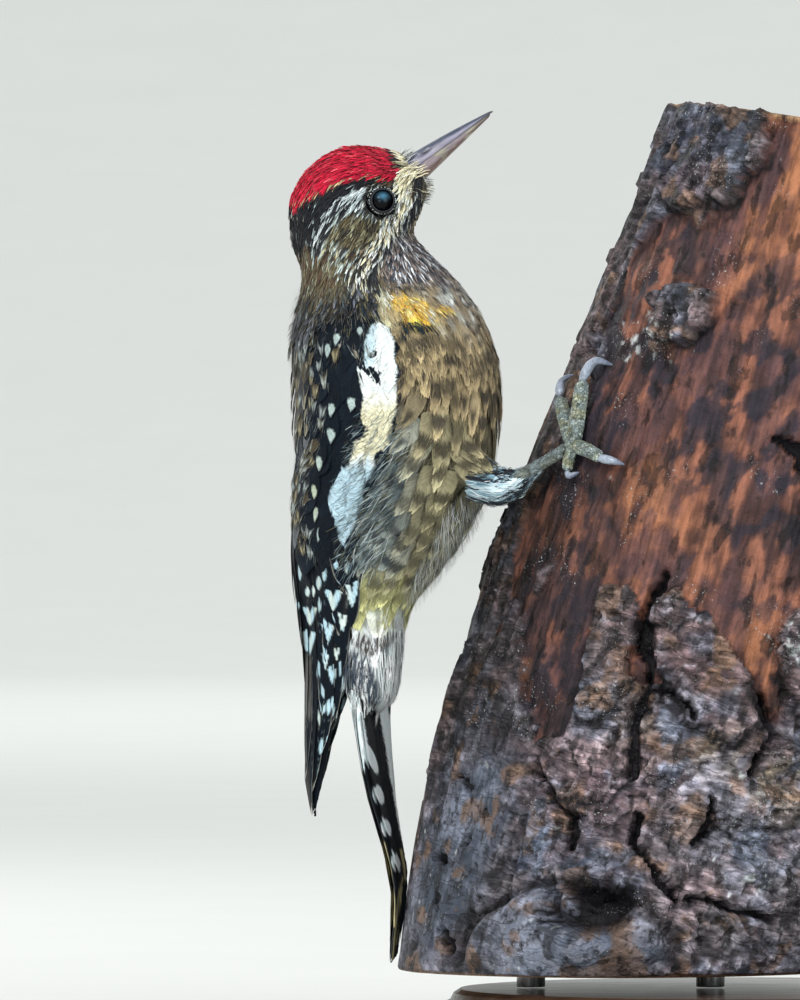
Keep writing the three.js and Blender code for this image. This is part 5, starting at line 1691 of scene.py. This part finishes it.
def half_bill(half):
    """The upper (1) or lower (-1) half."""
    deep = 3.05 if half > 0 else 3.1
    length = BILL_LENGTH - (0 if half > 0 else 0.9)

    def place_at(turn, share):
        run = -BILL_ROOT + share * (length + BILL_ROOT)
        part = min(1, max(0, run / BILL_LENGTH))
        swell = shoulder(run + BILL_ROOT, 1.0) * shoulder(length - run, 1.1)
        high = (deep * (1 - part) + 0.36 + (0.22 * math.sin(math.pi * part) if half > 0 else 0)) * swell
        wide = (3.1 * (1 - part) ** 0.85 + 0.5) * swell
        across, rise = math.sin(turn), math.cos(turn)
        aside = abs(across)
        keel = max(0, rise) ** (1.0 if half > 0 else 1.15)
        side = wide * math.copysign(aside ** 0.85, across)
        ridge, slit = 0, 0
        if half > 0:
            ridge = 0.16 * swell * math.exp(-(((aside - 0.66) / 0.12) ** 2)) * (1 - part)
        if half > 0 and rise > 0:
            slit = math.exp(-(((run - 2.6) / 1.5) ** 2) - (((aside - 0.8) / 0.1) ** 2))
        up = half * (high * keel + ridge * max(0, rise) - (0.1 if rise <= 0 else 0))
        return Vector(bill_place(run, side * (1 - 0.16 * slit), up))

    made = meshed(tube(56, 70, place_at))
    d = (numbers(made.vertices, "co", 3) - BILL_BASE) / MM
    run, up = d[:, 0] * BILL_COS + d[:, 2] * BILL_SIN, -d[:, 0] * BILL_SIN + d[:, 2] * BILL_COS
    part = held(run / BILL_LENGTH)
    level = up / (3.1 * (1 - part) + 0.5)
    cloud = rough(np.stack([run, d[:, 1], up], 1), (7, 2.5, 1.6), 4, 3.3)
    if half > 0:
        tone = mix((0.21, 0.2, 0.27), (0.045, 0.06, 0.105), ramp(level + 0.2 * cloud, 0.25, 0.75))
        tone = mix(tone, (0.03, 0.034, 0.045), 0.8 * ramp(part, 0.72, 0.98))
        # Painted shade: the nostril's opening is near black.
        nostril = np.exp(-(((run - 2.6) / 1.3) ** 2) - ((level - 0.52) / 0.12) ** 2)
        tone = mix(tone, (0.012, 0.012, 0.016), nostril)
        tone = mix(tone, (0.28, 0.26, 0.3), 0.6 * ramp(cloud, 0.15, 0.4) * ramp(-part, -0.7, -0.4))
    else:
        tone = mix((0.27, 0.22, 0.24), (0.2, 0.135, 0.115), ramp(-level + 0.2 * cloud, 0.3, 0.8))
        tone = mix(tone, (0.38, 0.36, 0.27), ramp(cloud + 0.5 * spot(run, up, 6.5, -1.2, 3, 1.2), 0.2, 0.5))
        tone = mix(tone, (0.12, 0.09, 0.075), 0.7 * ramp(part, 0.78, 0.98))
    lip = ramp(-np.abs(up), -0.28, -0.1) * (part < 0.995)
    paint(made, mix(tone, (0.035, 0.032, 0.04), 0.75 * lip))
    return made


horn = Finish("bill_horn", 0.34, Coat_Weight=0.25, Coat_Roughness=0.2, Specular_IOR_Level=0.45)
where = horn.add("Mapping", horn.place(), in_Rotation=(0, BILL_PITCH, 0)).outputs[0]
growth = horn.grit(where, 900, 4.0, (0.09, 1, 1))
pits = horn.grit(where, 2600, 3.0)
horn.toned(growth, 0.66, 1.36)
horn.link(horn.ramp(pits, (0.3, 0.46), (0.7, 0.26)), "Roughness")
horn.bump(horn.maths("ADD", growth, horn.maths("MULTIPLY", pits, 0.4)), 0.0002, 0.5)
add_piece("bill_top", half_bill(1), horn, "bill", "bill_upper")
add_piece("bill_bottom", half_bill(-1), horn, "bill", "bill_lower")

# Bristles: stiff fine hairs that fringe the bill's root. Dark ones stand out from the chin and the
# jaw, mixed ones lie over the nostrils, and cream ones lie forward on the lower half's side.
BRISTLES = (
    ("chin", 0.52, lambda along, side, up: (along + 0.75 * up > 25.5) & (up < -3.5) & (along > 24),
     (0.76, 0.3, -0.56), 2.0, 0.1, (0.5, 0.47, 0.33), 0.75),
    ("nostril", 0.62, lambda along, side, up: (along > 31.6) & (up > 1.2),
     (0.99, 0.06, 0.00), 2.5, 0.18, (0.62, 0.66, 0.6), 0.48),
    ("lore", 0.6, lambda along, side, up: (along > 31.8) & (up > -2.8) & (up < 1.2),
     (0.98, 0.1, -0.14), 2.2, 0.22, (0.78, 0.72, 0.5), 0.12))
for name, spacing, where_grown, way, long, wide, pale, dark_part in BRISTLES:
    roots = scatter(cover, spacing * MM, lambda p, d: where_grown(*in_head(p)), 81)
    rng = seeded(82)
    count = len(roots)
    sided = np.sign(roots[:, 1] - HEAD_BACK[1])
    aim = np.stack([way[0] + 0 * sided, way[1] * sided, way[2] + 0 * sided], 1)
    aim = aim + rng.normal(0, 0.12, (count, 3))
    aim = unit(np.array([from_head(*row) for row in aim]) - HEAD_BACK)
    length = rng.uniform(0.6, 1.2, count) * long * MM
    run = np.linspace(0, 1, 6)[None, :, None]
    droop = rng.normal(0, 0.1, (count, 1, 3)) * length[:, None, None] * run ** 2
    path = roots[:, None] + aim[:, None] * length[:, None, None] * run + droop
    outward = np.array([lie.find_nearest(p)[1][:] for p in roots.tolist()])
    lay = Lay(path, np.repeat(outward[:, None], 6, 1), length)
    lay.width = rng.uniform(0.7, 1.3, count) * wide * MM
    bristle_tone = mix(pale, (0.018, 0.02, 0.022), rng.random(count) < dark_part)
    bristle_tone = bristle_tone * rng.lognormal(0, 0.2, (count, 1))
    made = vanes(lay, 1, 5, -0.2 * MM, 0.15 * MM, 0, 0.5, 0.0,
                 lambda who, u, v, draw: bristle_tone[who], 83)
    add_piece(f"{name}_bristles", made, head_plumes, "head_feathers")

# ---- Eyes ----
# A dark wet ball in each socket, with a painted blue reflection above its middle, under a ring of bare grey
# lid skin set with tiny pale feather beads.
BALL_RADIUS = 3.3
LID_INNER, LID_OUTER = 2.62, 3.5
wet = Finish("eye_ball", 0.1, Coat_Weight=0.14, Coat_Roughness=0.03, Specular_IOR_Level=0.06)
iris = wet.grit(wet.place(), 5200, 4.0)
wet.toned(iris, 0.6, 1.5)
lid_skin = Finish("lid_skin", 0.5, Specular_IOR_Level=0.4)
wrinkle = lid_skin.grit(lid_skin.place(), 3600, 4.0)
lid_skin.toned(wrinkle, 0.6, 1.45)
lid_skin.bump(wrinkle, 0.00018)
for side_name, side in (("right", -1), ("left", 1)):
    low, high = (np.array(corner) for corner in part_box(f"eye_{side_name}"))
    centre = (low + high) / 2
    facing = Vector((0.2, side, 0.1)).normalized()
    turned = facing.to_track_quat("Z", "Y").to_matrix().to_4x4()
    placed = Matrix.Translation(centre) @ turned
    ball = bmesh.new()
    bmesh.ops.create_uvsphere(ball, u_segments=64, v_segments=40, radius=BALL_RADIUS * MM)
    tones = []
    for v in ball.verts:
        slant = math.degrees(v.co.angle(Vector((0, 0, 1))))
        if slant < 48:
            v.co *= 1 + 0.045 * (1 - (slant / 48) ** 2)
        # A painted reflection: a faint blue patch above the pupil's middle stands in for the sky on the wet
        # eye.
        sheen = 0
        if slant < 50:
            sheen = math.exp(-((v.co.x / MM) / 1.15) ** 2 - ((v.co.y / MM - 1.0) / 0.8) ** 2)
        tones.append((0.001 + 0.05 * sheen, 0.001 + 0.15 * sheen, 0.0016 + 0.23 * sheen))
    bmesh.ops.transform(ball, matrix=placed, verts=ball.verts)
    made = meshed(ball)
    paint(made, tones)
    add_piece(f"eye_ball_{side_name}", made, wet, "eye", f"eye_{side_name}")

    # The lid: a rounded ring turned round the eye's own axis, a little wider behind than in front.
    lid = bmesh.new()
    ring = []
    for k in range(15):
        a = math.pi * 2 * k / 15
        radius = (LID_INNER + LID_OUTER) / 2 + (LID_OUTER - LID_INNER) / 2 * math.cos(a)
        rise = math.sqrt(max(0, 3.62 ** 2 - min(radius, 3.55) ** 2)) + 0.36 * math.sin(a)
        rise = rise - 0.55 * ramp(radius, 3.3, 3.8)
        ring.append(lid.verts.new((radius * MM, 0, rise * MM)))
    loop = [lid.edges.new((a, b)) for a, b in zip(ring, ring[1:] + ring[:1])]
    bmesh.ops.spin(lid, geom=ring + loop, cent=(0, 0, 0), axis=(0, 0, 1), angle=2 * math.pi, steps=96,
                   use_merge=True)
    bmesh.ops.remove_doubles(lid, verts=lid.verts, dist=1e-7)
    bmesh.ops.recalc_face_normals(lid, faces=lid.faces)
    for v in lid.verts:
        v.co += v.co.normalized() * 0.05 * MM * math.sin(46 * math.atan2(v.co.y, v.co.x))
    bead_from = len(lid.verts)
    for k in range(31):
        a = math.pi * 2 * (k + 0.35 * math.sin(5.1 * k)) / 31
        spin_out = Matrix.Rotation(a, 4, "Z") @ Matrix.Translation((3.26 * MM, 0, 1.95 * MM))
        stretch = Matrix.Diagonal((0.23 + 0.08 * math.sin(3 * k), 0.17 + 0.05 * math.sin(7 * k), 0.14, 1))
        bmesh.ops.create_icosphere(lid, subdivisions=2, radius=MM, matrix=spin_out @ stretch)
    tones = []
    for number, v in enumerate(lid.verts):
        if number < bead_from:
            tones.append((0.012, 0.013, 0.016))
        else:
            tones.append((0.42, 0.48, 0.49) if v.co.y > -0.6 * MM else (0.25, 0.27, 0.25))
    bmesh.ops.transform(lid, matrix=placed, verts=lid.verts)
    made = meshed(lid)
    paint(made, tones)
    add_piece(f"eyelid_{side_name}", made, lid_skin, "eye")

# ---- Legs, feet and claws ----
# Bare scaled shanks and toes, two toes up and the others to the side and down, closed on the bark.
# The skin is set with small round grey-green scales, and the claws are smooth horn.
def plates(points, size, seed=0.0):
    """The distance from the cracks between plates, and a number from 0 to 1 for each plate."""
    gaps, names = [], []
    for p in (points / np.asarray(size, float) + seed).tolist():
        far, near = noise.voronoi(p, distance_metric="DISTANCE")
        gaps.append(far[1] - far[0])
        names.append(noise.cell(near[0] * 7.3))
    return np.array(gaps), np.array(names) * 0.5 + 0.5


scaly = Finish("scaled_foot_skin", 0.5, Specular_IOR_Level=0.45)
crease = scaly.add("TexVoronoi", scaly.place(), in_Scale=1900, feature="DISTANCE_TO_EDGE").outputs[0]
stain = scaly.grit(scaly.place(), 700, 4.0)
scaly.toned(stain, 0.6, 1.4)
scaly.bump(scaly.ramp(crease, (0.0, 0.0), (0.25, 1.0)), 0.0003)
claw_horn = Finish("claw_horn", 0.28, Coat_Weight=0.3, Coat_Roughness=0.15)
stripe = claw_horn.grit(claw_horn.place(), 1500, 3.0, (1, 1, 0.4))
claw_horn.toned(stripe, 0.7, 1.3)
claw_horn.bump(stripe, 0.0001, 0.5)
for side_name in ("right", "left"):
    for part in ("tarsus", "foot"):
        node = f"{part}_{side_name}"
        made = evened(joined_copy(node), 0.24 * MM, (0.32 if part == "foot" else -0.1) * MM, 4)
        at = numbers(made.vertices, "co", 3) / MM
        cell, name_of = plates(at, 0.62, 2.0)
        lift_off(made, (0.11 * ramp(cell, 0.0, 0.35) - 0.07) * MM)
        blotch = rough(at, 3.0, 4, 5.0)
        tone = mix((0.27, 0.34, 0.29), (0.64, 0.72, 0.64), ramp(name_of, 0.35, 0.9))
        tone = mix(tone, (0.42, 0.54, 0.58), 0.6 * ramp(blotch, 0.0, 0.35))
        tone = mix(tone, (0.52, 0.47, 0.18), 0.4 * ramp(-blotch, 0.22, 0.45))
        if part == "tarsus":
            tone = mix(tone, (0.17, 0.21, 0.23), 0.6)
        paint(made, mix((0.075, 0.085, 0.075), tone, ramp(cell, 0.0, 0.22)))
        add_piece(f"scaled_{node}", made, scaly, "foot_skin", node)
    toes = surface(joined_copy(f"foot_{side_name}"))
    for number in range(1, 5):
        node = f"claw_{side_name}_{number}"
        made = joined_copy(node)
        at = numbers(made.vertices, "co", 3)
        reach = off(toes, at)
        tip_share = (reach - reach.min()) / (reach.max() - reach.min())
        # Its root is let into the toe, and it is a little thicker than the drawn one.
        root = at[tip_share < 0.2].mean(0)
        into = np.array(toes.find_nearest(root.tolist())[0][:]) - root
        into = into + unit(into) * 1.6 * MM
        grown = at + numbers(made.vertices, "normal", 3) * 0.42 * MM * (1 - tip_share)[:, None] ** 0.7
        grown = grown + into * ramp(-tip_share, -0.3, -0.05)[:, None]
        made.vertices.foreach_set("co", grown.ravel())
        made.shade_smooth()
        paint(made, mix((0.33, 0.38, 0.46), (0.085, 0.105, 0.16), ramp(tip_share, 0.35, 1.0)))
        piece = add_piece(f"horn_{node}", made, claw_horn, "claw", node)
        rounder = piece.modifiers.new("rounder", "SUBSURF")
        rounder.levels = 2
        rounder.render_levels = 2
